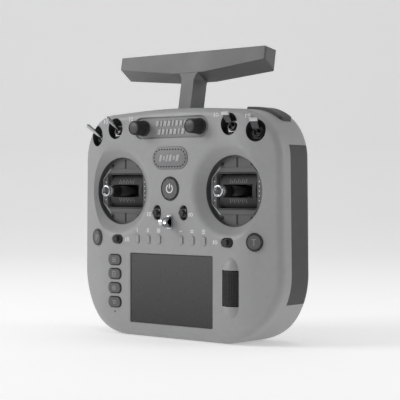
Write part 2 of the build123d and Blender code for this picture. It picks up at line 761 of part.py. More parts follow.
with BuildPart() as shell_screws:
    with BuildSketch(face_plane(SCREW_SEAT_DEPTH)):
        with Locations(*[(s * x, z) for x, z in SCREWS for s in BOTH]):
            Circle(SCREW_R)
    extrude(amount=SCREW_SEAT_DEPTH - PART_DEPTH + SCREW_BITE)
    with BuildSketch(face_plane(SCREW_SEAT_DEPTH)):
        with Locations(*[(s * x, z) for x, z in SCREWS for s in BOTH]):
            Circle(SCREW_HEAD_R)
    extrude(amount=-SCREW_HEAD_T)
save(shell_screws.part, "shell_screws")

with BuildPart() as usb_socket:
    with BuildSketch(Plane.XY.offset(USB_WALL)):
        with Locations((0, FACE_Y + USB_DEPTH)):
            SlotOverall(USB[0], USB[1])
    extrude(amount=USB[2])
    with BuildSketch(Plane.XY.offset(USB_WALL)):
        with Locations((0, FACE_Y + USB_DEPTH)):
            SlotOverall(USB[0] - 2 * USB_WALL, USB[1] - 2 * USB_WALL)
    extrude(amount=USB[2] - USB_WALL * 2, mode=Mode.SUBTRACT)
save(usb_socket.part, "usb_socket")


# ---------------------------------------------------------------- antenna
ant_pivot = Vector(0, FACE_Y + ANT_PIVOT_DEPTH, ANT_PIVOT_Z)
lean_sin = math.sin(math.radians(ANT_LEAN))
lean_cos = math.cos(math.radians(ANT_LEAN))
ant_normal = Vector(0, -lean_cos, lean_sin)
ant_plane = Plane(origin=ant_pivot, x_dir=(1, 0, 0), z_dir=ant_normal)


# The bar's underside falls towards the back, and the bar is deepest beside the stem.
mid_deep = ANT_BAR_FRONT + ANT_DEEP / 2
BAR_SECTIONS = (
    (-ANT_BAR_HALF, ANT_END_FRONT_H, ANT_END_BACK_H, ANT_END_DEEP),
    (-ANT_MID_HALF, ANT_MID_FRONT_H, ANT_MID_BACK_H, mid_deep),
    (ANT_MID_HALF, ANT_MID_FRONT_H, ANT_MID_BACK_H, mid_deep),
    (ANT_BAR_HALF, ANT_END_FRONT_H, ANT_END_BACK_H, ANT_END_DEEP),
)

with BuildPart() as antenna:
    for x, front_h, back_h, deep in BAR_SECTIONS:
        with BuildSketch(Plane(origin=ant_pivot + Vector(x, 0, 0), x_dir=ant_normal, z_dir=(-1, 0, 0))):
            Polygon(
                (ANT_BAR_FRONT, ANT_TOP),
                (ANT_BAR_FRONT, ANT_TOP - front_h),
                (ANT_BAR_FRONT - deep, ANT_TOP - back_h),
                (ANT_BAR_FRONT - deep, ANT_TOP),
                align=None,
            )
    loft(ruled=True)
    ends = antenna.edges().filter_by(lambda e: abs(e.center().X) > ANT_BAR_HALF - 0.1)
    fillet(ends, 1.5)
    neck_top = ANT_TOP - ANT_MID_FRONT_H + 1.0
    with BuildSketch(ant_plane.offset(-ANT_DEEP / 2)):
        with BuildLine():
            neck = FilletPolyline(
                (ANT_W / 2, 0),
                (ANT_W / 2, neck_top),
                (ANT_MID_HALF + ANT_NECK_R / 2, neck_top + 1.0),
                radius=ANT_NECK_R,
            )
            Polyline(neck @ 1, (ANT_MID_HALF + ANT_NECK_R / 2, neck_top + 2.0), (0, neck_top + 2.0))
            Line((0, 0), neck @ 0)
            Line((0, 0), (0, neck_top + 2.0))
        make_face()
        mirror(about=Plane.YZ)
    extrude(amount=ANT_DEEP)
    with BuildSketch(side_plane(-ANT_W / 2)):
        with Locations((ANT_PIVOT_DEPTH, ANT_PIVOT_Z)):
            Circle(ANT_DEEP / 2)
    extrude(amount=ANT_W)
    with BuildSketch(side_plane(-ANT_W / 2)):
        with Locations((ANT_PIVOT_DEPTH, ANT_PIVOT_Z)):
            Circle(ANT_PIN_R + RUN_GAP)
    extrude(amount=ANT_W, mode=Mode.SUBTRACT)
save(antenna.part, "antenna")

with BuildPart() as antenna_pin:
    with BuildSketch(side_plane(0)):
        with Locations((ANT_PIVOT_DEPTH, ANT_PIVOT_Z)):
            Circle(ANT_PIN_R)
    extrude(amount=ANT_W / 2 + ANT_SLOT_GAP + ANT_SLOT_WALL, both=True)
save(antenna_pin.part, "antenna_pin")


# ---------------------------------------------------------------- screen, board and speaker
with BuildPart() as screen_window:
    with BuildSketch(face_plane(SCREEN_SINK)):
        with Locations((0, SCREEN_Z)):
            RectangleRounded(SCREEN_W - 2 * SEAT_GAP, SCREEN_H - 2 * SEAT_GAP, 1.0)
    extrude(amount=-(WALL - SCREEN_SINK))
save(screen_window.part, "screen_window")

with BuildPart() as display_module:
    with BuildSketch(face_plane(WALL)):
        with Locations((0, SCREEN_Z)):
            Rectangle(SCREEN_W + 2 * DISPLAY_EDGE, SCREEN_H + 2 * DISPLAY_EDGE)
    extrude(amount=-DISPLAY_T)
save(display_module.part, "display_module")

with BuildPart() as main_board:
    left, bottom, right, top = BOARD_LOW
    with BuildSketch(face_plane(BOARD_DEPTH)):
        with Locations(((left + right) / 2, (bottom + top) / 2)):
            Rectangle(right - left, top - bottom)
        with Locations((0, (top + BOARD_COLUMN[1]) / 2)):
            Rectangle(2 * BOARD_COLUMN[0], BOARD_COLUMN[1] - top)
    extrude(amount=-BOARD_T)
save(main_board.part, "main_board")

with BuildPart() as speaker_badge:
    with BuildSketch(face_plane(-BADGE_PROUD)):
        with Locations((0, BADGE_Z)):
            SlotOverall(BADGE_W, BADGE_H)
    extrude(amount=-(WALL + BADGE_PROUD))
    chamfer(speaker_badge.faces().sort_by(Axis.Y)[0].edges(), BADGE_PROUD / 2)
save(speaker_badge.part, "speaker_badge")

with BuildPart() as speaker:
    with BuildSketch(face_plane(WALL)):
        with Locations((0, BADGE_Z)):
            Circle(SPEAKER_R)
    extrude(amount=-SPEAKER_T)
save(speaker.part, "speaker")


# ---------------------------------------------------------------- strap hook
with BuildPart() as strap_hook:
    eye_depth = HOOK_EYE_R + HOOK_RIM - HOOK_REACH
    with BuildSketch(side_plane(-HOOK_T / 2)):
        with BuildLine():
            CenterArc((eye_depth, HOOK_Z), HOOK_EYE_R + HOOK_RIM, 0, 360)
            CenterArc((-HOOK_RIM, HOOK_Z - HOOK_FOOT), HOOK_RIM / 2, 0, 360)
            CenterArc((-HOOK_RIM, HOOK_Z + HOOK_FOOT), HOOK_RIM / 2, 0, 360)
        make_hull()
        with Locations((eye_depth, HOOK_Z)):
            Circle(HOOK_EYE_R, mode=Mode.SUBTRACT)
        Polygon(
            (0, HOOK_Z + HOOK_FOOT - HOOK_RIM),
            (0, HOOK_Z - HOOK_FOOT + HOOK_RIM),
            (eye_depth + HOOK_EYE_R + HOOK_RIM, HOOK_Z),
            align=None,
            mode=Mode.SUBTRACT,
        )
    extrude(amount=HOOK_T)
    with BuildSketch(face_plane(0)):
        with Locations((0, HOOK_Z)):
            RectangleRounded(HOOK_T + 2.4, 2 * HOOK_FOOT + 2 * HOOK_RIM, HOOK_RIM)
    extrude(amount=HOOK_RIM)
    with BuildSketch(face_plane(0)):
        with Locations((0, HOOK_Z)):
            Circle(HOOK_STEM_R)
    extrude(amount=-2 * WALL)
save(strap_hook.part, "strap_hook")


# ---------------------------------------------------------------- gimbals
for side, name in zip(BOTH, ("left", "right")):
    x = side * GIMBAL_X
    centre = Vector(x, FACE_Y + PIVOT_DEPTH, GIMBAL_Z)
    ear_in = SHUTTER_W / 2 + 0.4
    cap_in = SHUTTER_R + 0.6

    with BuildPart() as gimbal_frame:
        with BuildSketch(face_plane(PLATE_DEPTH)):
            with Locations((x, GIMBAL_Z)):
                Circle(PLATE_R)
                RectangleRounded(WINDOW_W, WINDOW_H, WINDOW_R, mode=Mode.SUBTRACT)
        extrude(amount=-PLATE_T)
        with BuildSketch(face_plane(PLATE_DEPTH + PLATE_T)):
            with Locations((x, GIMBAL_Z)):
                Rectangle(2 * (ear_in + FRAME_WALL), 2 * (cap_in + FRAME_WALL / 2))
                Rectangle(2 * ear_in, 2 * cap_in, mode=Mode.SUBTRACT)
        extrude(amount=-(FRAME_BACK - PLATE_DEPTH - PLATE_T))
        with BuildSketch(side_plane(x)):
            with Locations((PIVOT_DEPTH, GIMBAL_Z)):
                Circle(YOKE_PIN_R + RUN_GAP)
        extrude(amount=ear_in + FRAME_WALL, both=True, mode=Mode.SUBTRACT)
    save(gimbal_frame.part, f"{name}_gimbal_frame")

    with BuildPart() as yoke:
        with BuildSketch(side_plane(x - SHUTTER_W / 2)):
            with BuildLine():
                hub = (PIVOT_DEPTH, GIMBAL_Z)
                skin = CenterArc(hub, SHUTTER_R, 180 - SHUTTER_ARC, 2 * SHUTTER_ARC)
                lining = CenterArc(hub, SHUTTER_R - SHUTTER_T, 180 - SHUTTER_ARC, 2 * SHUTTER_ARC)
                Line(skin @ 0, lining @ 0)
                Line(skin @ 1, lining @ 1)
            make_face()
        extrude(amount=SHUTTER_W)
        with BuildSketch(face_plane(0)):
            with Locations((x, GIMBAL_Z)):
                Rectangle(STICK_SLOT_W, STICK_SLOT_H)
        extrude(amount=-PIVOT_DEPTH, mode=Mode.SUBTRACT)
        for end in BOTH:
            inside = x + end * (SHUTTER_W / 2 - END_WALL_T)
            with BuildSketch(side_plane(inside)):
                with Locations((PIVOT_DEPTH, GIMBAL_Z)):
                    Circle(SHUTTER_R - SHUTTER_T / 2)
                with Locations((PIVOT_DEPTH + CHEEK_DEEP, GIMBAL_Z)):
                    Rectangle(
                        SHUTTER_R + CHEEK_DEEP,
                        HUB_H + 2 * (MOVE_GAP + CHEEK_T),
                        align=(Align.MAX, Align.CENTER),
                        mode=Mode.INTERSECT,
                    )
            extrude(amount=end * END_WALL_T)
            with BuildSketch(side_plane(x + end * SHUTTER_W / 2)):
                with Locations((PIVOT_DEPTH, GIMBAL_Z)):
                    Circle(YOKE_PIN_R)
            extrude(amount=end * (0.4 + FRAME_WALL))
            with BuildSketch(Plane(origin=centre).offset(end * (HUB_H / 2 + MOVE_GAP))):
                Rectangle(SHUTTER_W, 2 * CHEEK_DEEP)
                Circle(HUB_PIN_R + RUN_GAP, mode=Mode.SUBTRACT)
            extrude(amount=end * CHEEK_T)
    save(yoke.part, f"{name}_yoke")

    with BuildPart() as stick:
        with BuildSketch(Plane(origin=centre)):
            Circle(HUB_R)
        extrude(amount=HUB_H / 2, both=True)
        with BuildSketch(Plane(origin=centre)):
            Circle(HUB_PIN_R)
        extrude(amount=HUB_H / 2 + MOVE_GAP + CHEEK_T, both=True)
        with BuildSketch(face_plane(COLLAR_BACK)):
            with Locations((x, GIMBAL_Z)):
                Circle(SHAFT_R)
        extrude(amount=-(PIVOT_DEPTH - COLLAR_BACK))
        with BuildSketch(face_plane(COLLAR_BACK)):
            with Locations((x, GIMBAL_Z)):
                Circle(STICK_TENON_R)
        extrude(amount=COLLAR_BACK - COLLAR_FRONT + 2.0)
    save(stick.part, f"{name}_stick")

    with BuildPart() as collar:
        with BuildSketch(face_plane(COLLAR_BACK)):
            with Locations((x, GIMBAL_Z)):
                Circle(COLLAR_R)
                Circle(STICK_TENON_R + RUN_GAP, mode=Mode.SUBTRACT)
        extrude(amount=COLLAR_BACK - COLLAR_FRONT)
    save(collar.part, f"{name}_stick_collar")

    with BuildPart() as tip:
        with BuildSketch(round_plane(x, GIMBAL_Z)):
            Polygon(
                (STICK_TENON_R + RUN_GAP, COLLAR_FRONT),
                (TIP_R, COLLAR_FRONT),
                (TIP_R, COLLAR_FRONT - 1.8),
                (TIP_R - 0.9, COLLAR_FRONT - 2.3),
                (TIP_R - 0.9, COLLAR_FRONT - 2.8),
                (TIP_R, COLLAR_FRONT - 3.2),
                (TIP_R - 0.3, TIP_FRONT),
                (TIP_BORE_R, TIP_FRONT),
                (TIP_BORE_R, COLLAR_FRONT - 3.4),
                (0, COLLAR_FRONT - 3.4),
                (0, COLLAR_FRONT - 2.1),
                (STICK_TENON_R + RUN_GAP, COLLAR_FRONT - 2.1),
                align=None,
            )
        revolve(axis=depth_axis(x, GIMBAL_Z))
    save(tip.part, f"{name}_stick_end")


# ---------------------------------------------------------------- knobs
with BuildPart() as knob_pots:
    pot_front = PANEL_SINK + WALL
    with BuildSketch(face_plane(pot_front)):
        with Locations((-KNOB_X, KNOB_Z), (KNOB_X, KNOB_Z)):
            Circle(POT_R)
    extrude(amount=-POT_T)
    with BuildSketch(face_plane(pot_front)):
        with Locations((-KNOB_X, KNOB_Z), (KNOB_X, KNOB_Z)):
            Circle(POT_SHAFT_R + 0.5)
    extrude(amount=WALL)
    with BuildSketch(face_plane(pot_front)):
        with Locations((-KNOB_X, KNOB_Z), (KNOB_X, KNOB_Z)):
            Circle(POT_SHAFT_R)
    extrude(amount=pot_front - KNOB_FRONT - 3.0)
save(knob_pots.part, "knob_pots")

for side, name in zip(BOTH, ("knob_left", "knob_right")):
    with BuildPart() as knob:
        with BuildSketch(round_plane(side * KNOB_X, KNOB_Z)):
            Polygon(
                (POT_SHAFT_R + RUN_GAP, PANEL_SINK - MOVE_GAP),
                (KNOB_BASE_R, PANEL_SINK - MOVE_GAP),
                (KNOB_R, KNOB_FRONT + 0.8),
                (KNOB_R - 0.8, KNOB_FRONT),
                (0, KNOB_FRONT),
                (0, KNOB_FRONT + 2.5),
                (POT_SHAFT_R + RUN_GAP, KNOB_FRONT + 2.5),
                align=None,
            )
        revolve(axis=depth_axis(side * KNOB_X, KNOB_Z))
    save(knob.part, name)


# ---------------------------------------------------------------- toggle switches
with BuildPart() as switch_bodies:
    for x, z in SWITCHES.values():
        with BuildSketch(well_plane(x, z, -WELL_WALL)):
            Rectangle(SWITCH_BODY[0], SWITCH_BODY[1])
        extrude(amount=-SWITCH_BODY[2])
        with BuildSketch(well_plane(x, z, -WELL_WALL)):
            Circle(BUSH_R)
        extrude(amount=WELL_WALL + BUSH_PROUD)
        with BuildSketch(well_plane(x, z, LEVER_PIVOT - BALL_R - MOVE_GAP)):
            Circle(BUSH_BORE_R)
        extrude(amount=OUTSIDE, mode=Mode.SUBTRACT)
save(switch_bodies.part, "switch_bodies")

with BuildPart() as switch_nuts:
    for x, z in SWITCHES.values():
        with BuildSketch(well_plane(x, z)):
            RegularPolygon(NUT_FLATS / 2, 6, major_radius=False)
            Circle(BUSH_R + RUN_GAP, mode=Mode.SUBTRACT)
        extrude(amount=NUT_T)
save(switch_nuts.part, "switch_nuts")

for letter, (x, z) in SWITCHES.items():
    pivot = lever_plane(x, z)
    with BuildPart() as lever:
        with Locations(pivot):
            Sphere(BALL_R)
        if letter in "ab":
            with Locations(pivot):
                Cone(LEVER_BASE_R, LEVER_TIP_R, LEVER_LEN, align=(Align.CENTER, Align.CENTER, Align.MIN))
            with Locations(pivot.offset(LEVER_LEN)):
                Sphere(LEVER_TIP_R)
        else:
            with BuildSketch(pivot):
                Circle(LEVER_BASE_R)
            extrude(amount=PADDLE_STEM + PADDLE_T / 2)
            blade = facing_plane(pivot.offset(PADDLE_STEM).origin, x, SWITCH_LEAN + LEVER_TILT + PADDLE_BEND)
            with BuildSketch(blade):
                RectangleRounded(PADDLE_W, PADDLE_T, PADDLE_T * 0.4)
            extrude(amount=PADDLE_LEN)
    save(lever.part, f"switch_lever_{letter}")


# ---------------------------------------------------------------- trims
for name, (x, z, turn) in TRIMS.items():
    along_axis = (1, 0, 0) if turn else (0, 0, 1)
    axle = Plane(origin=(x, FACE_Y + TRIM_AXIS_DEPTH, z), z_dir=along_axis)
    with BuildPart() as trim:
        with BuildSketch(face_plane(TRIM_CUP_DEPTH)):
            with Locations((x, z)):
                SlotOverall(2 * TRIM_R, TRIM_W - 0.8, rotation=turn)
        extrude(amount=OUTSIDE)
        with BuildSketch(axle):
            Circle(TRIM_R)
        extrude(amount=TRIM_L, both=True, mode=Mode.INTERSECT)
        with BuildSketch(face_plane(TRIM_AXIS_DEPTH)):
            with Locations((x, z)):
                Circle(TRIM_NUB_R)
        extrude(amount=TRIM_AXIS_DEPTH - TRIM_NUB_FRONT)
        with BuildSketch(axle):
            Circle(TRIM_PIN_R)
        extrude(amount=TRIM_W / 2 + TRIM_CUP_WALL, both=True)
    save(trim.part, f"trim_{name}")


# ---------------------------------------------------------------- keys
def push_key(plane, outline, proud, edge, sag=0.0):
    """Key cap with a lip behind the wall that keeps it in its hole."""
    lip_front = WALL + sag + MOVE_GAP
    with BuildPart() as cap:
        with BuildSketch(plane.offset(-lip_front)):
            outline(0)
        extrude(amount=lip_front + proud)
        chamfer(cap.faces().sort_by(Axis(plane.origin, plane.z_dir))[-1].edges(), edge)
        with BuildSketch(plane.offset(-lip_front)):
            outline(FLANGE)
        extrude(amount=-FLANGE_T)
    return cap.part


for number, x in enumerate(POSITION_X, start=1):
    save(push_key(control_plane(x, POSITION_Z), position_outline, 0.9, 0.3), f"position_key_{number}")
for number, z in enumerate(MENU_Z, start=1):
    save(push_key(control_plane(MENU_X, z), menu_outline, 1.2, 0.4), f"menu_key_{number}")
for side, name in zip(BOTH, ("round_key_left", "round_key_right")):
    save(push_key(control_plane(side * ROUND_X, ROUND_Z), round_outline, 1.2, 0.4, FLARE_SAG), name)
save(push_key(control_plane(0, POWER_Z), power_outline, 0.7, 0.3), "power_button")


# ---------------------------------------------------------------- roller
with BuildPart() as roller:
    plate_in = ROLLER_L / 2 + 2 * MOVE_GAP
    with BuildSketch(Plane.XY.offset(ROLLER_Z)):
        with Locations((ROLLER_X, FACE_Y + roller_depth)):
            Circle(ROLLER_R)
    extrude(amount=ROLLER_L / 2, both=True)
    chamfer(roller.edges().filter_by(GeomType.CIRCLE), 0.6)
    with BuildSketch(Plane.XY.offset(ROLLER_Z)):
        with Locations((ROLLER_X, FACE_Y + roller_depth)):
            Circle(ROLLER_AXLE_R)
    extrude(amount=plate_in + CARRIER_T, both=True)
save(roller.part, "roller")

with BuildPart() as roller_carrier:
    bar_front = roller_depth + ROLLER_R + 2 * MOVE_GAP
    with BuildSketch(face_plane(roller_depth - CARRIER_FRONT)):
        with Locations((ROLLER_X, ROLLER_Z)):
            Rectangle(CARRIER_W, 2 * (plate_in + CARRIER_T))
    extrude(amount=-(bar_front + CARRIER_BAR_T - roller_depth + CARRIER_FRONT))
    with BuildSketch(face_plane(0)):
        with Locations((ROLLER_X, ROLLER_Z)):
            Rectangle(2 * ROLLER_R, 2 * plate_in)
    extrude(amount=-bar_front, mode=Mode.SUBTRACT)
    with BuildSketch(Plane.XY.offset(ROLLER_Z)):
        with Locations((ROLLER_X, FACE_Y + roller_depth)):
            Circle(ROLLER_AXLE_R + RUN_GAP)
    extrude(amount=plate_in + CARRIER_T, both=True, mode=Mode.SUBTRACT)
save(roller_carrier.part, "roller_carrier")
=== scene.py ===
"""Looks of a handheld radio-control transmitter, built around its packed model.

Every length typed here is in millimetres unless its name says otherwise, and is turned into metres
by MM. Depths are measured back from the plane of the front face, as on the maker's drawing.
"""
import json
import math

import bmesh
import bpy
from bpy.props import FloatProperty, FloatVectorProperty, IntProperty, PointerProperty
from mathutils import Matrix, Vector


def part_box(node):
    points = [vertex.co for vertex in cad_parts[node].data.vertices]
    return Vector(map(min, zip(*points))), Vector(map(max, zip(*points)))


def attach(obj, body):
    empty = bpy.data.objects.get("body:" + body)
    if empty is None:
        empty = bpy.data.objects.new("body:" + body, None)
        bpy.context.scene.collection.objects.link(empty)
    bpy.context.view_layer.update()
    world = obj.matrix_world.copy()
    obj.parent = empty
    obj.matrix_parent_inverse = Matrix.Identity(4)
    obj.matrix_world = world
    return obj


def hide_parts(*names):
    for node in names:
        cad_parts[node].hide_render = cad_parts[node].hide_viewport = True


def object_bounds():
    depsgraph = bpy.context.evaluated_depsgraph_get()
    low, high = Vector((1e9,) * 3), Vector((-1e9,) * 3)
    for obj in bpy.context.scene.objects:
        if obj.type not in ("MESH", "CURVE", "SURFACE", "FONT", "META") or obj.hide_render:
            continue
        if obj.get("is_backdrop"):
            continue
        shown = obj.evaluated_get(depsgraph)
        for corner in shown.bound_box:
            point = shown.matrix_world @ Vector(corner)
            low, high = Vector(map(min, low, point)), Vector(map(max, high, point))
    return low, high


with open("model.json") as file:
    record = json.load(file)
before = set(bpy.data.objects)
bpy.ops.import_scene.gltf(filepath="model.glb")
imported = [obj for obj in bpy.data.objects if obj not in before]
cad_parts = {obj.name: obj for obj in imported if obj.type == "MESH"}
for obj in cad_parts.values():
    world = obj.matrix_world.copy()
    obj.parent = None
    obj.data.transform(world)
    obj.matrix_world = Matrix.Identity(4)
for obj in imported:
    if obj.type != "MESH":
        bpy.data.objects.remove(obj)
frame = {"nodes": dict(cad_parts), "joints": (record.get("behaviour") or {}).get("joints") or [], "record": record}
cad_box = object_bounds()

bl_info = {
    "name": "Handheld Transmitter Looks",
    "version": (1, 0, 0),
    "blender": (4, 5, 0),
    "location": "3D View > Sidebar > Transmitter",
    "description": "Builds the visible pieces and finishes of a handheld radio transmitter",
    "category": "Object",
}

MM = 0.001


# ---------------------------------------------------------------- places read from the frame
def middle(node):
    """Middle of a node's box, in millimetres."""
    low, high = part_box(node)
    return (low + high) / 2 / MM


def pivot(name):
    """Point on a packed joint's axis, in millimetres."""
    return Vector(next(j for j in frame["joints"] if j["name"] == name)["pos_m"]) / MM


def extent(node):
    """Width and height of a node's box, in millimetres."""
    low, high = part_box(node)
    return (high.x - low.x) / MM, (high.z - low.z) / MM


def proud_of_face(node):
    """How far a node stands out of the face plane, in millimetres."""
    return FACE_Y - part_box(node)[0].y / MM


SHELL_DEPTH = 18.0           # the front shell's depth behind the flat face
FACE_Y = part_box("front_shell")[1].y / MM - SHELL_DEPTH
FLAT_HALF = 66.0             # half width of the flat middle of the face
FLARE = math.radians(16.0)   # each side of the face falls back by this much
SIDES = ("left", "right")
GIMBALS = {side: pivot(f"{side}_stick_tilt") for side in SIDES}
GIMBAL_DEPTH = 10.0          # the gimbal plate lies this far behind the face
GIMBAL_R = 24.4              # round opening over each gimbal
SHUTTER_R = 18.0             # outside of each curved shutter
WELLS = ((-74.5, 145.2), (-53.5, 150.0), (53.5, 150.0), (74.5, 145.2))   # toggle wells on the face
WELL_R = 7.2
WELL_LEAN = math.radians(20.0)
BACK_SCREWS = ((40.0, 153.0), (69.5, 56.0), (48.0, 8.5))   # either side of the middle, on the back
CASE_BACK = 18.0             # plane of the back
FLAT_ENOUGH = 1.2            # degrees between triangles that count as one flat face


def face_place(x, z, depth=0.0, lean=0.0):
    """Matrix from a drawing in millimetres (x right, y up, z out of the face) to its place on the face."""
    flare = math.copysign(FLARE, x) if abs(x) > FLAT_HALF else 0.0
    fall = max(0.0, abs(x) - FLAT_HALF) * math.tan(FLARE)
    flat = math.cos(lean)
    normal = Vector((math.sin(flare) * flat, -math.cos(flare) * flat, math.sin(lean)))
    along = Vector((math.cos(flare), math.sin(flare), 0.0))
    up = normal.cross(along)
    turn = Matrix((along, up, normal)).transposed().to_4x4()
    origin = Vector((x, FACE_Y + fall, z)) - normal * depth
    return Matrix.Scale(MM, 4) @ Matrix.Translation(origin) @ turn


def on_shutter(centre, reach, shift=0.0):
    """Matrix of a spot on a shutter, by its way round the drum and its shift along it."""
    angle = reach / SHUTTER_R
    normal = Vector((0.0, -math.cos(angle), math.sin(angle)))
    along = Vector((1.0, 0.0, 0.0))
    turn = Matrix((along, normal.cross(along), normal)).transposed().to_4x4()
    origin = Matrix.Translation(centre + normal * SHUTTER_R)
    return Matrix.Scale(MM, 4) @ origin @ turn @ Matrix.Translation((shift, 0.0, 0.0))


def round_part(node, centre):
    """Place on the axis of a round part that faces forward, with its front, back and radius."""
    low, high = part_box(node)
    axis = Matrix.Translation((centre.x, 0.0, centre.z)) @ Matrix.Rotation(math.pi / 2, 4, "X")
    return Matrix.Scale(MM, 4) @ axis, -low.y / MM, -high.y / MM, (high.x - low.x) / 2 / MM


def back_place(x, z, y):
    """Matrix from a drawing in millimetres (seen from behind) to a level place on the back."""
    turn = Matrix(((-1.0, 0.0, 0.0), (0.0, 0.0, 1.0), (0.0, 1.0, 0.0))).to_4x4()
    return Matrix.Scale(MM, 4) @ Matrix.Translation((x, y, z)) @ turn


def cap_place(node):
    """Matrix from a drawing in millimetres to the broad front face of a packed key."""
    mesh = frame["nodes"][node].data
    areas = {}
    for face in mesh.polygons:
        if face.normal.y < -0.8:
            key = tuple(round(part, 2) for part in face.normal)
            areas[key] = areas.get(key, 0.0) + face.area
    normal = Vector(max(areas, key=areas.get)).normalized()
    reach = max(vert.co.dot(normal) for vert in mesh.vertices)
    near = [vert.co for vert in mesh.vertices if vert.co.dot(normal) > reach - 0.0004]
    origin = Vector([(min(part) + max(part)) / 2 for part in zip(*near)])
    origin += normal * (reach - origin.dot(normal))
    along = Vector((-normal.y, normal.x, 0.0)).normalized()
    turn = Matrix((along, normal.cross(along), normal)).transposed().to_4x4()
    return Matrix.Translation(origin) @ turn @ Matrix.Scale(MM, 4)


# ---------------------------------------------------------------- shader groups
WEAR_RADIUS = 0.0004         # metres


def shader_group(name, inputs, outputs):
    """Empty node group with named float and vector sockets."""
    tree = bpy.data.node_groups.new(name, "ShaderNodeTree")
    for label, kind, value in inputs:
        socket = tree.interface.new_socket(label, in_out="INPUT", socket_type=kind)
        if value is not None:
            socket.default_value = value
    for label in outputs:
        tree.interface.new_socket(label, in_out="OUTPUT", socket_type="NodeSocketFloat")
    return tree, tree.nodes.new("NodeGroupInput"), tree.nodes.new("NodeGroupOutput")


def feed(tree, socket, value):
    """Link a socket to another, or set it to a number or a colour."""
    if isinstance(value, bpy.types.NodeSocket):
        tree.links.new(value, socket)
    else:
        socket.default_value = value


def wire(tree, kind, settings=None, **values):
    """Add a node, set its properties and feed its inputs, which i0 or i1 names by number."""
    node = tree.nodes.new(kind)
    for label, value in (settings or {}).items():
        setattr(node, label, value)
    for label, value in values.items():
        numbered = label[0] == "i" and label[1:].isdigit()
        feed(tree, node.inputs[int(label[1:]) if numbered else label], value)
    return node


def noise(tree, vector, scale, detail=3.0, roughness=0.55):
    """Noise texture's value at the given scale."""
    return wire(tree, "ShaderNodeTexNoise", Vector=vector, Detail=detail, Roughness=roughness,
                Scale=scale).outputs["Fac"]


def vector_maths(tree, operation, output, *given):
    """Result of a sum on vectors."""
    values = {f"i{k}": value for k, value in enumerate(given)}
    return wire(tree, "ShaderNodeVectorMath", {"operation": operation}, **values).outputs[output]


def maths(tree, operation, first, second=0.0):
    """Result of a two-number sum."""
    return wire(tree, "ShaderNodeMath", {"operation": operation}, i0=first, i1=second).outputs[0]


def spread(tree, value, low, high, to_low=0.0, to_high=1.0):
    """Value stretched from one range to another and held inside it."""
    node = wire(tree, "ShaderNodeMapRange", Value=value)
    for label, number in (("From Min", low), ("From Max", high), ("To Min", to_low), ("To Max", to_high)):
        node.inputs[label].default_value = number
    return node.outputs["Result"]


def make_grain_group():
    """Moulded grain: a fine height and a slow unevenness."""
    tree, inside, out = shader_group(
        "Moulded grain",
        [("Vector", "NodeSocketVector", None), ("Scale", "NodeSocketFloat", 3000.0)],
        ("Height", "Unevenness"),
    )
    vector, scale = inside.outputs["Vector"], inside.outputs["Scale"]
    fine = noise(tree, vector, scale, 2.0, 0.6)
    coarse = noise(tree, vector, maths(tree, "MULTIPLY", scale, 0.31), 2.0)
    height = maths(tree, "ADD", maths(tree, "MULTIPLY", fine, 0.65), maths(tree, "MULTIPLY", coarse, 0.35))
    slow = noise(tree, vector, 34.0, 4.0)
    patches = noise(tree, vector, 260.0, 3.0)
    uneven = maths(tree, "ADD", maths(tree, "MULTIPLY", slow, 0.6), maths(tree, "MULTIPLY", patches, 0.4))
    tree.links.new(height, out.inputs["Height"])
    tree.links.new(spread(tree, uneven, 0.3, 0.7), out.inputs["Unevenness"])
    return tree


def make_wear_group():
    """Edge wear: a mask on outer edges, broken up by noise."""
    tree, inside, out = shader_group(
        "Edge wear",
        [("Vector", "NodeSocketVector", None), ("Radius", "NodeSocketFloat", WEAR_RADIUS),
         ("Amount", "NodeSocketFloat", 0.5)],
        ("Mask",),
    )
    rounded = wire(tree, "ShaderNodeBevel", {"samples": 4}, Radius=inside.outputs["Radius"])
    flat = wire(tree, "ShaderNodeNewGeometry")
    agree = vector_maths(tree, "DOT_PRODUCT", "Value", rounded.outputs["Normal"], flat.outputs["Normal"])
    edge = spread(tree, agree, 0.995, 0.86)
    broken = spread(tree, noise(tree, inside.outputs["Vector"], 420.0, 5.0, 0.7), 0.38, 0.62)
    mask = maths(tree, "MULTIPLY", maths(tree, "MULTIPLY", edge, broken), inside.outputs["Amount"])
    tree.links.new(mask, out.inputs["Mask"])
    return tree


def make_dust_group():
    """Handling marks: soft smudges with a few fine scratches."""
    tree, inside, out = shader_group(
        "Handling marks",
        [("Vector", "NodeSocketVector", None), ("Scale", "NodeSocketFloat", 22.0)],
        ("Smudge", "Scratch"),
    )
    smear = spread(tree, noise(tree, inside.outputs["Vector"], inside.outputs["Scale"], 5.0, 0.6), 0.42, 0.72)
    stretched = wire(tree, "ShaderNodeMapping", Vector=inside.outputs["Vector"])
    stretched.inputs["Scale"].default_value = (900.0, 900.0, 26.0)
    stretched.inputs["Rotation"].default_value = (0.3, 0.9, 0.4)
    lines = spread(tree, noise(tree, stretched.outputs["Vector"], 1.0, 1.0), 0.71, 0.78)
    tree.links.new(smear, out.inputs["Smudge"])
    tree.links.new(lines, out.inputs["Scratch"])
    return tree


GROUPS = {}
FINISHES = {}


def place_group(tree, name, **values):
    """Put a shader group in a material."""
    node = tree.nodes.new("ShaderNodeGroup")
    node.node_tree = GROUPS[name]
    for label, value in values.items():
        feed(tree, node.inputs[label], value)
    return node


def shade(colour, factor):
    """Colour made lighter or darker."""
    return tuple(min(1.0, c * factor) for c in colour[:3]) + (1.0,)


def mix_colour(tree, factor, first, second):
    """Two colours mixed by a mask."""
    node = tree.nodes.new("ShaderNodeMix")
    node.data_type = "RGBA"
    for index, value in ((0, factor), (6, first), (7, second)):
        feed(tree, node.inputs[index], value)
    return node.outputs[2]


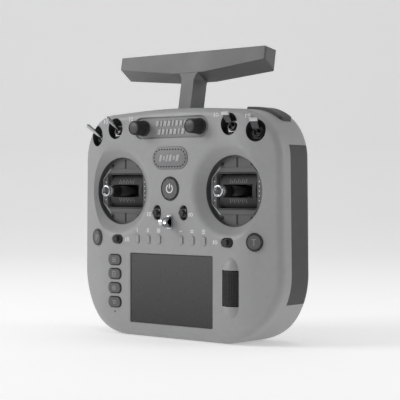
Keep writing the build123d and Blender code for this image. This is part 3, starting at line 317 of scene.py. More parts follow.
def finish(name, colour, roughness=0.5, grain=3000.0, depth=0.00002, metallic=0.0, coat=0.0,
           wear=0.35, wear_light=1.5, uneven=0.06, specular=0.5, brushed=None):
    """Principled material with grain, unevenness, edge wear and handling marks."""
    material = bpy.data.materials.new(name)
    material.use_nodes = True
    tree = material.node_tree
    bsdf = tree.nodes["Principled BSDF"]
    where = tree.nodes.new("ShaderNodeTexCoord").outputs["Object"]
    if brushed:
        stretch = wire(tree, "ShaderNodeMapping", Vector=where)
        stretch.inputs["Scale"].default_value = brushed
        grain_where = stretch.outputs["Vector"]
    else:
        grain_where = where
    texture = place_group(tree, "grain", Vector=grain_where, Scale=grain)
    edges = place_group(tree, "wear", Vector=where, Radius=WEAR_RADIUS, Amount=wear)
    marks = place_group(tree, "marks", Vector=where)
    base = mix_colour(tree, texture.outputs["Unevenness"], shade(colour, 1.0 - uneven),
                      shade(colour, 1.0 + uneven))
    base = mix_colour(tree, edges.outputs["Mask"], base, shade(colour, wear_light))
    rough = spread(tree, texture.outputs["Unevenness"], 0.0, 1.0, roughness - 0.05, roughness + 0.05)
    rough = maths(tree, "SUBTRACT", rough, maths(tree, "MULTIPLY", marks.outputs["Smudge"], 0.08))
    rough = maths(tree, "ADD", rough, maths(tree, "MULTIPLY", marks.outputs["Scratch"], 0.12))
    tree.links.new(base, bsdf.inputs["Base Color"])
    tree.links.new(rough, bsdf.inputs["Roughness"])
    bump = wire(tree, "ShaderNodeBump", Height=texture.outputs["Height"], Distance=depth, Strength=1.0)
    tree.links.new(bump.outputs["Normal"], bsdf.inputs["Normal"])
    bsdf.inputs["Metallic"].default_value = metallic
    bsdf.inputs["Coat Weight"].default_value = coat
    bsdf.inputs["Specular IOR Level"].default_value = specular
    FINISHES[name] = material
    return material


def insides(material):
    """A finish's tree, its shader, its object coordinates and the colour it has so far."""
    tree = material.node_tree
    bsdf = tree.nodes["Principled BSDF"]
    where = next(n for n in tree.nodes if n.bl_idname == "ShaderNodeTexCoord").outputs["Object"]
    return tree, bsdf, where, bsdf.inputs["Base Color"].links[0].from_socket


def grip_finish(name, colour):
    """Soft-touch rubber with a moulded diamond texture."""
    material = finish(name, colour, roughness=0.62, grain=5200.0, depth=0.00003, wear=0.25, wear_light=1.35,
                      uneven=0.10, specular=0.35)
    tree, bsdf, where, _ = insides(material)
    bump = next(n for n in tree.nodes if n.bl_idname == "ShaderNodeBump")
    turned = wire(tree, "ShaderNodeMapping", Vector=where)
    turned.inputs["Rotation"].default_value = (0.0, math.radians(45.0), 0.0)
    cells = wire(tree, "ShaderNodeTexVoronoi", {"feature": "F1", "distance": "CHEBYCHEV"},
                 Vector=turned.outputs["Vector"], Scale=720.0, Randomness=0.0)
    pyramids = wire(tree, "ShaderNodeBump", {"invert": True}, Height=cells.outputs["Distance"],
                    Distance=0.00022, Strength=0.55, Normal=bump.outputs["Normal"])
    tree.links.new(pyramids.outputs["Normal"], bsdf.inputs["Normal"])


def metal_finish(name, colour, roughness, brushed=None):
    """Bare or plated metal with fine brushing."""
    finish(name, colour, roughness=roughness, grain=900.0, depth=0.000006, metallic=1.0,
           wear=0.25, wear_light=1.2, uneven=0.05, brushed=brushed)


def glass_finish(name):
    """Dark display behind glass, which brightens towards its top edge."""
    low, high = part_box("screen_window")
    material = finish(name, (0.052, 0.052, 0.054), roughness=0.30, specular=0.3, grain=800.0, depth=0.000001,
                      wear=0.0, uneven=0.02, coat=0.12)
    tree, bsdf, where, base = insides(material)
    # Painted reflection: the base colour is lightened from the bottom edge to the top edge of the glass.
    height = wire(tree, "ShaderNodeSeparateXYZ", Vector=where).outputs["Z"]
    painted_top_reflection = mix_colour(tree, spread(tree, height, low.z, high.z),
                      (0.034, 0.034, 0.036, 1.0), (0.082, 0.082, 0.085, 1.0))
    tree.links.new(mix_colour(tree, 0.85, base, painted_top_reflection), bsdf.inputs["Base Color"])


def board_finish(name):
    """Green laminate with lighter tracks."""
    material = finish(name, (0.012, 0.075, 0.030), roughness=0.38, grain=2500.0, wear=0.1)
    tree, bsdf, where, base = insides(material)
    tracks = wire(tree, "ShaderNodeTexBrick", Vector=where, Scale=90.0)
    tracks.inputs["Mortar Size"].default_value = 0.03
    lines = spread(tree, tracks.outputs["Fac"], 0.0, 1.0)
    tree.links.new(mix_colour(tree, lines, base, (0.03, 0.16, 0.06, 1.0)), bsdf.inputs["Base Color"])


def inside_bore(tree, where, place, lean_place, radius, depth):
    """Mask of the surface inside a round bore and deeper than a given depth, both in millimetres."""
    out = Vector((0.0, 0.0, 1.0))
    axis = (lean_place.to_3x3() @ out).normalized()
    outward = (place.to_3x3() @ out).normalized()
    offset = vector_maths(tree, "SUBTRACT", "Vector", where, place.translation)
    cross = vector_maths(tree, "CROSS_PRODUCT", "Vector", offset, axis)
    away = vector_maths(tree, "LENGTH", "Value", cross)
    proud = vector_maths(tree, "DOT_PRODUCT", "Value", offset, outward)
    near = spread(tree, away, (radius + 0.2) * MM, (radius + 0.1) * MM)
    deep = spread(tree, proud, -depth * MM, -(depth + 0.25) * MM)
    return maths(tree, "MULTIPLY", near, deep)


def front_finish(name, colour):
    """Case plastic that darkens inside the toggle wells and the gimbal openings."""
    tree, bsdf, where, base = insides(finish(name, colour, **CASE_LOOK))
    for x, z in WELLS:
        mask = inside_bore(tree, where, face_place(x, z), face_place(x, z, 0.0, WELL_LEAN), WELL_R, 0.1)
        base = mix_colour(tree, mask, base, (0.030, 0.030, 0.032, 1.0))
    # Painted shade: the walls inside each gimbal opening are darkened where they fall in shadow.
    for centre in GIMBALS.values():
        place = face_place(centre.x, centre.z)
        mask = inside_bore(tree, where, place, place, GIMBAL_R, 0.8)
        base = mix_colour(tree, mask, base, (0.075, 0.075, 0.077, 1.0))
    tree.links.new(base, bsdf.inputs["Base Color"])


CASE_LOOK = {"roughness": 0.46, "grain": 4200.0, "depth": 0.000022, "wear": 0.40, "wear_light": 1.35}
PRINT_LOOK = {"roughness": 0.5, "grain": 6000.0, "depth": 0.000004, "wear": 0.1, "uneven": 0.04}
BRUSHED = {"display_metal": (1.0, 0.05, 0.05), "bright_metal": (0.2, 1.0, 0.2)}
PLASTICS = (   # name, colour, roughness, grain, wear_light
    ("dark_plastic", (0.045, 0.045, 0.047), 0.50, 4200.0, 1.8),
    ("key_plastic", (0.105, 0.105, 0.108), 0.42, 4200.0, 1.5),
    ("antenna_plastic", (0.112, 0.112, 0.115), 0.48, 4200.0, 1.5),
    ("gimbal_plastic", (0.105, 0.105, 0.108), 0.44, 4200.0, 1.5),
    ("knob_rubber", (0.022, 0.022, 0.023), 0.52, 5000.0, 1.9),
    ("badge_plastic", (0.20, 0.20, 0.205), 0.40, 4200.0, 1.4),
    ("panel_floor", (0.24, 0.24, 0.245), 0.50, 4200.0, 1.3),
    ("panel_raised", (0.42, 0.42, 0.425), 0.42, 4200.0, 1.4),
    ("knob_face", (0.055, 0.055, 0.058), 0.36, 4000.0, 1.8),
)
METALS = (   # name, colour, roughness
    ("display_metal", (0.45, 0.45, 0.46), 0.40),
    ("stick_metal", (0.11, 0.11, 0.115), 0.36),
    ("bright_metal", (0.62, 0.63, 0.64), 0.20),
    ("nut_metal", (0.62, 0.63, 0.65), 0.26),
    ("nut_dark", (0.13, 0.13, 0.135), 0.30),
    ("lever_metal", (0.50, 0.51, 0.52), 0.30),
    ("lever_dark", (0.10, 0.10, 0.105), 0.35),
    ("screw_steel", (0.32, 0.32, 0.33), 0.34),
)


def make_finishes(looks):
    """Every material, by the slot it belongs to or by its own name."""
    GROUPS["grain"] = make_grain_group()
    GROUPS["wear"] = make_wear_group()
    GROUPS["marks"] = make_dust_group()
    finish("case_plastic", tuple(looks.case_colour), **CASE_LOOK)
    front_finish("front_case", tuple(looks.case_colour))
    grip_finish("grip_rubber", tuple(looks.grip_colour))
    for name, colour, roughness, grain, light in PLASTICS:
        finish(name, colour, roughness=roughness, grain=grain, wear_light=light)
    for name, colour, roughness in METALS:
        metal_finish(name, colour, roughness, BRUSHED.get(name))
    glass_finish("screen_glass")
    board_finish("board_laminate")
    finish("shutter_plastic", (0.052, 0.052, 0.054), roughness=0.62, grain=4200.0,
           wear_light=1.3, specular=0.22)
    finish("stick_plastic", (0.050, 0.050, 0.052), roughness=0.34, grain=2500.0,
           depth=0.000005, wear_light=2.5)
    finish("cell_wrap", (0.035, 0.07, 0.19), roughness=0.3, grain=900.0, depth=0.00001)
    finish("print_white", (0.72, 0.72, 0.72), **PRINT_LOOK)
    finish("mark_grey", (0.30, 0.30, 0.30), **PRINT_LOOK)
    finish("groove_dark", (0.018, 0.018, 0.019), roughness=0.7, grain=4000.0, wear=0.0)
    finish("ring_dark", (0.022, 0.022, 0.023), roughness=0.35, grain=4000.0, wear=0.2)
    finish("cap_white", (0.62, 0.62, 0.62), roughness=0.42, grain=4000.0,
           depth=0.00001, wear=0.2, wear_light=0.8)


def dress_nodes():
    """Give every carried-over node the material of its slot."""
    for row in frame["record"]["subparts"]:
        mesh = frame["nodes"][row["node"]].data
        mesh.materials.clear()
        name = "front_case" if row["node"] == "front_shell" else row["material_slot"]
        mesh.materials.append(FINISHES[name])


# ---------------------------------------------------------------- modelling
def joined(bm, made, matrix):
    """Close seams and face everything outward, then put what was made where the matrix says."""
    verts = list({v for f in made for v in f.verts})
    bmesh.ops.remove_doubles(bm, verts=verts, dist=0.0005)
    faces = [f for f in made if f.is_valid]
    bmesh.ops.recalc_face_normals(bm, faces=faces)
    bmesh.ops.transform(bm, matrix=matrix, verts=list({v for f in faces for v in f.verts}))
    return faces


def slab(bm, outline, low, high, matrix, edge=0.0):
    """Prism on an outline in the drawing plane, its upper edge broken by a bevel."""
    before = set(bm.faces)
    base = bm.faces.new([bm.verts.new((x, y, low)) for x, y in outline])
    got = bmesh.ops.extrude_face_region(bm, geom=[base])
    top = [v for v in got["geom"] if isinstance(v, bmesh.types.BMVert)]
    bmesh.ops.translate(bm, verts=top, vec=(0.0, 0.0, high - low))
    if edge > 0.0:
        tops = set(top)
        rim = [e for e in bm.edges if e.verts[0] in tops and e.verts[1] in tops]
        bmesh.ops.bevel(bm, geom=rim, offset=edge, segments=3, profile=0.5, affect="EDGES",
                        clamp_overlap=True, material=-1)
    return joined(bm, [f for f in bm.faces if f not in before], matrix)


def lathe(bm, profile, steps, matrix):
    """Solid of revolution about the drawing's z axis from (radius, height) points."""
    before = set(bm.faces)
    points = [bm.verts.new((r, 0.0, z)) for r, z in profile]
    edges = [bm.edges.new(pair) for pair in zip(points, points[1:])]
    bmesh.ops.spin(bm, geom=points + edges, cent=(0.0, 0.0, 0.0), axis=(0.0, 0.0, 1.0),
                   angle=math.tau, steps=steps, use_merge=True)
    return joined(bm, [f for f in bm.faces if f not in before], matrix)


def circle_points(radius, steps, centre=(0.0, 0.0)):
    """Points round a circle."""
    return [(centre[0] + radius * math.cos(math.tau * i / steps),
             centre[1] + radius * math.sin(math.tau * i / steps)) for i in range(steps)]


def rounded_points(width, height, corner, steps=6):
    """Points round a rectangle with round corners."""
    points = []
    corner = min(corner, width / 2, height / 2)
    for quarter, (sx, sy) in enumerate(((1, 1), (-1, 1), (-1, -1), (1, -1))):
        for i in range(steps + 1):
            angle = math.pi / 2 * (quarter + i / steps)
            x = sx * (width / 2 - corner) + corner * math.cos(angle)
            y = sy * (height / 2 - corner) + corner * math.sin(angle)
            if not points or math.dist(points[-1], (x, y)) > 1e-4:
                points.append((x, y))
    if math.dist(points[0], points[-1]) < 1e-4:
        points.pop()
    return points


def moved(points, x, y, turn=0.0):
    """Points turned and shifted in the drawing plane."""
    c, s = math.cos(turn), math.sin(turn)
    return [(x + c * px - s * py, y + s * px + c * py) for px, py in points]


def frame_ring(bm, outer, inner, low, high, matrix):
    """Raised ring between two outlines with the same number of points."""
    loops = [[bm.verts.new((x, y, z)) for x, y in outline]
             for outline, z in ((outer, low), (outer, high), (inner, high), (inner, low))]
    made = []
    for lower, upper in zip(loops, loops[1:] + loops[:1]):
        for i in range(len(lower)):
            j = (i + 1) % len(lower)
            made.append(bm.faces.new((lower[i], lower[j], upper[j], upper[i])))
    return joined(bm, made, matrix)


def round_ring(bm, outer, inner, low, high, matrix, steps=72, centre=(0.0, 0.0)):
    """Raised round ring."""
    rims = [circle_points(radius, steps, centre) for radius in (outer, inner)]
    frame_ring(bm, *rims, low, high, matrix)


def fluted_solid(bm, profile, steps, matrix):
    """Closed solid of revolution with flutes along it, from rows of height, radius and flute depth."""
    rings = []
    for height, radius, flute in profile:
        ring = []
        for i in range(steps):
            r = radius - (flute if i % 4 in (2, 3) else 0.0)
            angle = math.tau * i / steps
            ring.append(bm.verts.new((r * math.cos(angle), r * math.sin(angle), height)))
        rings.append([bm.edges.new((ring[i], ring[(i + 1) % steps])) for i in range(steps)])
    for lower, upper in zip(rings, rings[1:]):
        bmesh.ops.bridge_loops(bm, edges=lower + upper)
    bmesh.ops.edgeloop_fill(bm, edges=rings[0])
    bmesh.ops.edgeloop_fill(bm, edges=rings[-1])
    joined(bm, list(bm.faces), matrix)


def stroke(bm, start, end, width, low, high, matrix):
    """Straight bar with round ends between two points of the drawing."""
    length = math.dist(start, end)
    turn = math.atan2(end[1] - start[1], end[0] - start[0])
    shape = rounded_points(length + width, width, width / 2, 3)
    slab(bm, moved(shape, (start[0] + end[0]) / 2, (start[1] + end[1]) / 2, turn), low, high, matrix)


def arc_strokes(bm, radius, start, sweep, width, low, high, matrix, pieces):
    """Arc about the drawing's middle, made of short sectors."""
    def arc(r):
        turns = [start + sweep * i / pieces for i in range(pieces + 1)]
        return [(r * math.cos(turn), r * math.sin(turn)) for turn in turns]
    outer, inner = arc(radius + width / 2), arc(radius - width / 2)
    for i in range(pieces):
        slab(bm, [outer[i], outer[i + 1], inner[i + 1], inner[i]], low, high, matrix)


def publish(bm, name, body, material, crease=28.0, replaced=(), bevel=0.0):
    """Turn a finished drawing into a piece that rides on a body."""
    mesh = bpy.data.meshes.new(name)
    bm.normal_update()
    bm.to_mesh(mesh)
    bm.free()
    mesh.materials.append(FINISHES[material])
    piece = bpy.data.objects.new(name, mesh)
    bpy.context.scene.collection.objects.link(piece)
    if bevel:
        soften = piece.modifiers.new("Edge rounding", "BEVEL")
        soften.width = bevel * MM
        soften.segments = 3
        soften.limit_method = "ANGLE"
        soften.angle_limit = math.radians(crease)
        soften.harden_normals = False
    mesh.shade_smooth()
    mesh.set_sharp_from_angle(angle=math.radians(crease))
    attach(piece, body)
    if replaced:
        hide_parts(*replaced)


def cad_copy(node):
    """Welded copy of a node's surface, in metres, flat faces made whole so that a bevel runs cleanly."""
    bm = bmesh.new()
    bm.from_mesh(frame["nodes"][node].data)
    bmesh.ops.remove_doubles(bm, verts=bm.verts, dist=1e-6)
    bmesh.ops.dissolve_degenerate(bm, edges=bm.edges, dist=1e-7)
    bmesh.ops.recalc_face_normals(bm, faces=bm.faces)
    bmesh.ops.dissolve_limit(bm, angle_limit=math.radians(FLAT_ENOUGH), verts=bm.verts, edges=bm.edges,
                             use_dissolve_boundaries=False)
    return bm


# ---------------------------------------------------------------- sizes and colours a user may change
class TransmitterLooks(bpy.types.PropertyGroup):
    """Colours and small sizes of the visible details"""

    case_colour: FloatVectorProperty(name="Case colour", description="Moulded case", size=4, min=0.0, max=1.0,
                                     default=(0.335, 0.335, 0.34, 1.0), subtype="COLOR")
    grip_colour: FloatVectorProperty(name="Grip colour", description="Soft side grips", size=4,
                                     min=0.0, max=1.0, default=(0.072, 0.072, 0.074, 1.0), subtype="COLOR")
    print_height: FloatProperty(name="Print thickness",
                                description="How far printed marks stand off the case",
                                default=0.00005, min=0.00001, max=0.0005, unit="LENGTH")
    knurl_teeth: IntProperty(name="Knurl teeth", description="Ridges round each stick collar",
                             default=36, min=12, max=90)
    knob_flutes: IntProperty(name="Knob flutes", description="Ridges round each knob",
                             default=28, min=12, max=60)
    badge_slots: IntProperty(name="Badge slots", description="Slots round the speaker badge",
                             default=28, min=12, max=48)
    roller_ribs: IntProperty(name="Roller ribs", description="Ribs round the roller",
                             default=44, min=24, max=90)


class TransmitterStage(bpy.types.PropertyGroup):
    """Floor, light and camera"""

    floor_colour: FloatVectorProperty(name="Floor colour", description="Floor and backdrop", size=4, min=0.0,
                                      max=1.0, default=(0.86, 0.86, 0.86, 1.0), subtype="COLOR")
    lens: FloatProperty(name="Lens", description="Focal length of the camera in millimetres",
                        default=116.6, min=20.0, max=300.0)
    key_power: FloatProperty(name="Key light", description="Power of the front light",
                             default=10.5, min=0.0, unit="POWER")
    rim_power: FloatProperty(name="Rim light", description="Power of the light behind the right side",
                             default=3.0, min=0.0, unit="POWER")


# ---------------------------------------------------------------- drawing of the pieces
def glyph(bm, kind, size, low, high, matrix):
    """Generic printed mark of one of a few kinds."""
    s = size / 2
    w = size * 0.16
    if kind == "bars":
        stroke(bm, (-s * 0.6, -s), (-s * 0.6, s), w, low, high, matrix)
        stroke(bm, (s * 0.1, -s), (s * 0.1, s), w, low, high, matrix)
        stroke(bm, (s * 0.8, -s * 0.2), (s * 0.8, s), w, low, high, matrix)
    elif kind == "corner":
        stroke(bm, (-s * 0.7, s), (s * 0.6, s), w, low, high, matrix)
        stroke(bm, (0.0, s), (0.0, -s), w, low, high, matrix)
    elif kind == "page":
        wide, tall = size * 1.1, size * 1.3
        frame_ring(bm, rounded_points(wide, tall, 0.2), rounded_points(wide - 2 * w, tall - 2 * w, 0.1),
                   low, high, matrix)
        stroke(bm, (-s * 0.5, 0.0), (s * 0.5, 0.0), w * 0.8, low, high, matrix)
    elif kind == "back":
        stroke(bm, (s, -s * 0.7), (-s * 0.6, -s * 0.7), w, low, high, matrix)
        stroke(bm, (-s * 0.6, -s * 0.7), (0.0, 0.0), w, low, high, matrix)
        stroke(bm, (s, -s * 0.7), (s, s * 0.6), w, low, high, matrix)
        stroke(bm, (s, s * 0.6), (-s * 0.8, s * 0.6), w, low, high, matrix)
    elif kind == "dial":
        arc_strokes(bm, s, 0.0, math.tau, w, low, high, matrix, 20)
        slab(bm, circle_points(s * 0.35, 16), low, high, matrix)
    elif kind == "lines":
        for level in (-0.8, 0.0, 0.8):
            stroke(bm, (-s, s * level), (s, s * level), w, low, high, matrix)
    elif kind == "power":
        arc_strokes(bm, s, math.radians(122), math.radians(296), w, low, high, matrix, 24)
        stroke(bm, (0.0, s * 0.2), (0.0, s * 1.15), w, low, high, matrix)


def build_antenna(looks):
    """Folding antenna with rounded edges."""
    bm = cad_copy("antenna")
    publish(bm, "antenna_body", "antenna", "antenna_plastic", 25.0, ["antenna"], bevel=1.1)


def build_softened(looks):
    """Hook, shoulder keys and back covers with rounded edges."""
    for node, name, body, slot, bevel in (
        ("strap_hook", "strap_loop", "case", "bright_metal", 0.22),
        ("shoulder_key_left", "shoulder_button_left", "shoulder_key_left", "dark_plastic", 0.5),
        ("shoulder_key_right", "shoulder_button_right", "shoulder_key_right", "dark_plastic", 0.5),
        ("battery_door", "battery_lid", "battery_door", "case_plastic", 0.35),
        ("module_cover", "module_lid", "module_cover", "case_plastic", 0.35),
    ):
        bm = cad_copy(node)
        publish(bm, name, body, slot, 30.0, [node], bevel)


def build_gimbal_faces(looks):
    """Raised step, printed marks, screws and grooves round each stick."""
    half_w, half_h = 22.0, 16.2
    octagon = [(half_w, -8.7), (half_w, 8.7), (14.5, half_h), (-14.5, half_h),
               (-half_w, 8.7), (-half_w, -8.7), (-14.5, -half_h), (14.5, -half_h)]
    opening = [(17.3, -11.0), (17.3, 11.0), (16.0, 12.3), (-16.0, 12.3), (-17.3, 11.0), (-17.3, -11.0),
               (-16.0, -12.3), (16.0, -12.3)]
    # Painted highlight: white strokes along the step's left edges, where the light from the left catches it.
    lines = (((-14.6, -half_h), (-half_w, -8.9)), ((-half_w, -8.3), (-half_w, 8.3)),
             ((-half_w, 8.9), (-14.6, half_h)))
    screw_x, screw_y = 12.9, 18.6
    print_top = looks.print_height / MM
    for side, centre in GIMBALS.items():
        place = face_place(centre.x, centre.z, GIMBAL_DEPTH)
        bm = bmesh.new()
        frame_ring(bm, octagon, opening, -0.05, 0.55, place)
        publish(bm, f"{side}_gimbal_step", "case", "gimbal_plastic", 20.0, bevel=0.15)
        # White strokes that stand for the painted highlight on the step's left edges.
        bm = bmesh.new()
        for start, end in lines:
            stroke(bm, start, end, 0.5, 0.35, 0.62, place)
        publish(bm, f"{side}_gimbal_painted_highlight", "case", "cap_white", 20.0)
        bm = bmesh.new()
        frame_ring(bm, rounded_points(36.0, 26.0, 2.6), rounded_points(34.8, 24.8, 2.2), 0.45, 0.6, place)
        publish(bm, f"{side}_window_rim", "case", "groove_dark", 20.0)
        bm = bmesh.new()
        for up in (1, -1):
            groove = [(-0.8, up * half_h), (0.8, up * half_h), (0.8, up * 23.0), (-0.8, up * 23.0)]
            slab(bm, groove[::up], -0.1, 0.06, place)
            for across in (1, -1):
                x, y = across * screw_x, up * screw_y
                slab(bm, circle_points(1.35, 20, (x, y)), -0.1, 0.10, place)
                for turn in (0.0, math.pi / 2):
                    slab(bm, moved(rounded_points(1.9, 0.42, 0.1, 1), x, y, turn + 0.5), 0.05, 0.16, place)
        publish(bm, f"{side}_gimbal_grooves", "case", "groove_dark", 30.0)
        bm = bmesh.new()
        for across in (1, -1):
            for row in range(-2, 3):
                slab(bm, circle_points(0.42, 12, (across * 19.6, row * 3.25)), 0.5, 0.55 + print_top, place)
        publish(bm, f"{side}_gimbal_dots", "case", "print_white", 30.0)
        bm = bmesh.new()
        for i in range(-4, 5):
            for sign in (1, -1):
                long = 3.2 if i % 2 == 0 else 2.0
                slab(bm, rounded_points(0.28, long, 0.1, 1), -0.08, print_top,
                     on_shutter(centre, sign * (5.3 + long / 2), i * 1.75))
        publish(bm, f"{side}_shutter_ticks", f"{side}_yoke", "mark_grey", 30.0)
        bm = bmesh.new()
        for sign in (1, -1):
            for row in range(5):
                slab(bm, rounded_points(26.0, 0.4, 0.15, 1), -0.1, 0.14,
                     on_shutter(centre, sign * (9.6 + row * 0.75)))
        publish(bm, f"{side}_shutter_ridges", f"{side}_yoke", "shutter_plastic", 30.0)


def knurled_ring(bm, radius, inner, low, high, teeth, matrix, depth=0.3):
    """Tube with straight ridges along it."""
    steps = teeth * 4
    outer = []
    for i in range(steps):
        cut = depth if i % 4 in (2, 3) else 0.0
        angle = math.tau * i / steps
        outer.append(((radius - cut) * math.cos(angle), (radius - cut) * math.sin(angle)))
    frame_ring(bm, outer, circle_points(inner, steps), low, high, matrix)


def build_sticks(looks):
    """Knurled collar and star-faced end of each stick."""
    bore = 1.7
    for side, centre in GIMBALS.items():
        body = f"{side}_stick"
        place, front, back, radius = round_part(f"{side}_stick_collar", centre)
        bm = bmesh.new()
        knurled_ring(bm, radius, bore, back, front, looks.knurl_teeth, place, 0.22)
        publish(bm, f"{side}_stick_knurl", body, "stick_metal", 30.0, [f"{side}_stick_collar"])
        place, front, back, radius = round_part(f"{side}_stick_end", centre)
        bm = bmesh.new()
        profile = [(bore, back), (radius * 0.86, back), (radius, back + 0.5), (radius, front - 2.0),
                   (radius * 0.97, front - 1.7), (radius * 0.97, front - 1.4), (radius, front - 1.1),
                   (radius, front - 0.55), (radius - 0.18, front - 0.12), (radius - 0.5, front),
                   (radius - 0.95, front - 0.06), (radius - 1.15, front - 0.6),
                   (bore, front - 0.9), (bore, back)]
        lathe(bm, profile, 96, place)
        publish(bm, f"{side}_stick_cup", body, "bright_metal", 30.0, [f"{side}_stick_end"])
        bm = bmesh.new()
        slab(bm, circle_points(radius - 1.1, 48), front - 1.3, front - 0.75, place)
        for i in range(10):
            shape = [(0.5, -0.16), (radius - 1.3, -0.42), (radius - 1.3, 0.42), (0.5, 0.16)]
            slab(bm, moved(shape, 0.0, 0.0, math.tau * i / 10), front - 0.8, front - 0.28, place)
        slab(bm, circle_points(0.75, 24), front - 0.8, front - 0.2, place)
        publish(bm, f"{side}_stick_star", body, "stick_metal", 30.0, bevel=0.08)


def build_knobs(looks):
    """Fluted knobs with a dished face."""
    for side in SIDES:
        node = f"knob_{side}"
        place, front, back, radius = round_part(node, middle(node))
        top = radius - 0.75
        bm = bmesh.new()
        profile = ((back, radius, 0.0), (back + 1.0, radius, 0.0), (back + 1.3, radius - 0.3, 0.0),
                   (back + 1.5, top + 0.35, 0.34), (front - 0.9, top, 0.34), (front - 0.35, top - 0.2, 0.2),
                   (front - 0.05, top - 0.55, 0.0), (front, top - 0.9, 0.0), (front - 0.35, top - 1.3, 0.0))
        fluted_solid(bm, profile, looks.knob_flutes * 4, place)
        publish(bm, f"{side}_fluted_knob", node, "knob_rubber", replaced=[node])
        bm = bmesh.new()
        slab(bm, circle_points(top - 1.25, 48), front - 0.6, front - 0.28, place, 0.1)
        publish(bm, f"{side}_knob_face", node, "knob_face")


def build_switches(looks):
    """Toggle levers, their nuts and the white tips of the two paddles."""
    tip_height, tip_skin = 2.3, 0.12
    for letter in "abcd":
        node = f"switch_lever_{letter}"
        paddle = letter in "cd"
        publish(cad_copy(node), f"toggle_{letter}", node,
                "lever_dark" if paddle else "lever_metal", 30.0, [node], 0.12)
        if paddle:
            bm = cad_copy(node)
            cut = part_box(node)[1].z - tip_height * MM
            bmesh.ops.bisect_plane(bm, geom=bm.verts[:] + bm.edges[:] + bm.faces[:], plane_co=(0.0, 0.0, cut),
                                   plane_no=(0.0, 0.0, 1.0), clear_inner=True, use_snap_center=False)
            bmesh.ops.holes_fill(bm, edges=[e for e in bm.edges if e.is_boundary])
            bm.normal_update()
            for vert in bm.verts:
                vert.co += vert.normal * tip_skin * MM
            publish(bm, f"toggle_cap_{letter}", node, "cap_white", 30.0, bevel=0.2)
    publish(cad_copy("switch_nuts"), "toggle_nuts", "case", "nut_dark", 30.0,
            ["switch_nuts"], 0.18)


def build_trims(looks):
    """Trim rockers with fine ridges across each nub."""
    for kind in ("pitch", "roll"):
        for side in SIDES:
            node = f"trim_{side}_{kind}"
            publish(cad_copy(node), f"{side}_{kind}_rocker", node, "ring_dark",
                    replaced=[node], bevel=0.15)
            centre = middle(node)
            place = face_place(centre.x, centre.z, -proud_of_face(node))
            bm = bmesh.new()
            turn = 0.0 if kind == "pitch" else math.pi / 2
            for row in (-1.1, 0.0, 1.1):
                x, y = -math.sin(turn) * row, math.cos(turn) * row
                shape = moved(rounded_points(3.0, 0.36, 0.15, 2), x, y, turn)
                slab(bm, shape, -0.5, -0.02, place)
            publish(bm, f"{side}_{kind}_ridges", node, "key_plastic")


def slanted_bar(bm, x, y, broad, tall, lean, low, high, place, edge):
    """Upright bar that leans to the right."""
    half, rise = broad / 2, tall / 2
    shape = [(x - half - lean, y - rise), (x + half - lean, y - rise),
             (x + half + lean, y + rise), (x - half + lean, y + rise)]
    slab(bm, shape, low, high, place, edge)


def build_badge(looks):
    """Speaker badge: a capsule with slots round its rim and a row of plain slanted bars."""
    centre = middle("speaker_badge")
    wide, tall = extent("speaker_badge")
    proud = proud_of_face("speaker_badge")
    place = face_place(centre.x, centre.z)
    bm = bmesh.new()
    slab(bm, rounded_points(wide, tall, tall / 2, 16), -1.0, proud - 0.02, place, 0.3)
    publish(bm, "badge_plate", "case", "badge_plastic", replaced=["speaker_badge"])
    bm = bmesh.new()
    inset = 1.75
    straight = wide - tall
    radius = tall / 2 - inset
    length = 2 * straight + math.tau * radius
    for i in range(looks.badge_slots):
        s = (i + 0.5) / looks.badge_slots * length
        if s < straight:
            x, y, turn = -straight / 2 + s, radius, 0.0
        elif s < straight + math.pi * radius:
            angle = math.pi / 2 - (s - straight) / radius
            x, y = straight / 2 + radius * math.cos(angle), radius * math.sin(angle)
            turn = angle - math.pi / 2
        elif s < 2 * straight + math.pi * radius:
            x, y, turn = straight / 2 - (s - straight - math.pi * radius), -radius, 0.0
        else:
            angle = -math.pi / 2 - (s - 2 * straight - math.pi * radius) / radius
            x, y = -straight / 2 + radius * math.cos(angle), radius * math.sin(angle)
            turn = angle - math.pi / 2
        slab(bm, moved(rounded_points(1.7, 0.95, 0.45, 3), x, y, turn), proud - 0.3, proud - 0.005, place)
    publish(bm, "badge_slots", "case", "groove_dark")
    bm = bmesh.new()
    for x, tall, broad in ((-8.6, 4.6, 2.0), (-5.4, 3.0, 1.5), (-2.6, 4.6, 1.5), (0.6, 4.6, 2.2),
                           (4.0, 3.0, 1.5), (7.2, 4.6, 2.4)):
        slanted_bar(bm, x, 0.0, broad, tall, tall * 0.14, proud - 0.3, proud - 0.004, place, 0.12)
    publish(bm, "badge_emblem", "case", "panel_raised")


def build_top_panel(looks):
    """Panel let into the face between the knobs, with two rows of plain slanted bars."""
    place = face_place(0.0, middle("knob_left").z)
    long, tall, sink = 69.4, 14.4, -1.6
    bm = bmesh.new()
    slab(bm, rounded_points(long, tall, tall / 2, 16), sink - 0.1, sink + 0.12, place, 0.05)
    publish(bm, "top_panel", "case", "panel_floor")
    bm = bmesh.new()
    for row, count in ((2.9, 8), (-2.9, 7)):
        for i in range(count):
            broad = 2.5 if (i + count) % 3 else 1.5
            slanted_bar(bm, (i - (count - 1) / 2) * 3.7, row, broad, 3.8, 0.4, sink, sink + 0.7, place, 0.15)
    publish(bm, "top_panel_bars", "case", "panel_raised")


def build_power(looks):
    """Mark and rim on the power key and the dark gap round it."""
    centre = middle("power_button")
    radius = 7.15
    place = face_place(centre.x, centre.z, -proud_of_face("power_button"))
    bm = bmesh.new()
    glyph(bm, "power", 5.6, -0.10, looks.print_height / MM - 0.02, place)
    publish(bm, "power_mark", "power_button", "print_white")
    bm = bmesh.new()
    round_ring(bm, radius - 0.35, radius - 0.95, -0.3, 0.0, place)
    publish(bm, "power_rim", "power_button", "badge_plastic")
    bm = bmesh.new()
    round_ring(bm, radius + 1.5, radius + 0.5, -0.2, 0.06, face_place(centre.x, centre.z))
    publish(bm, "power_surround", "case", "groove_dark")


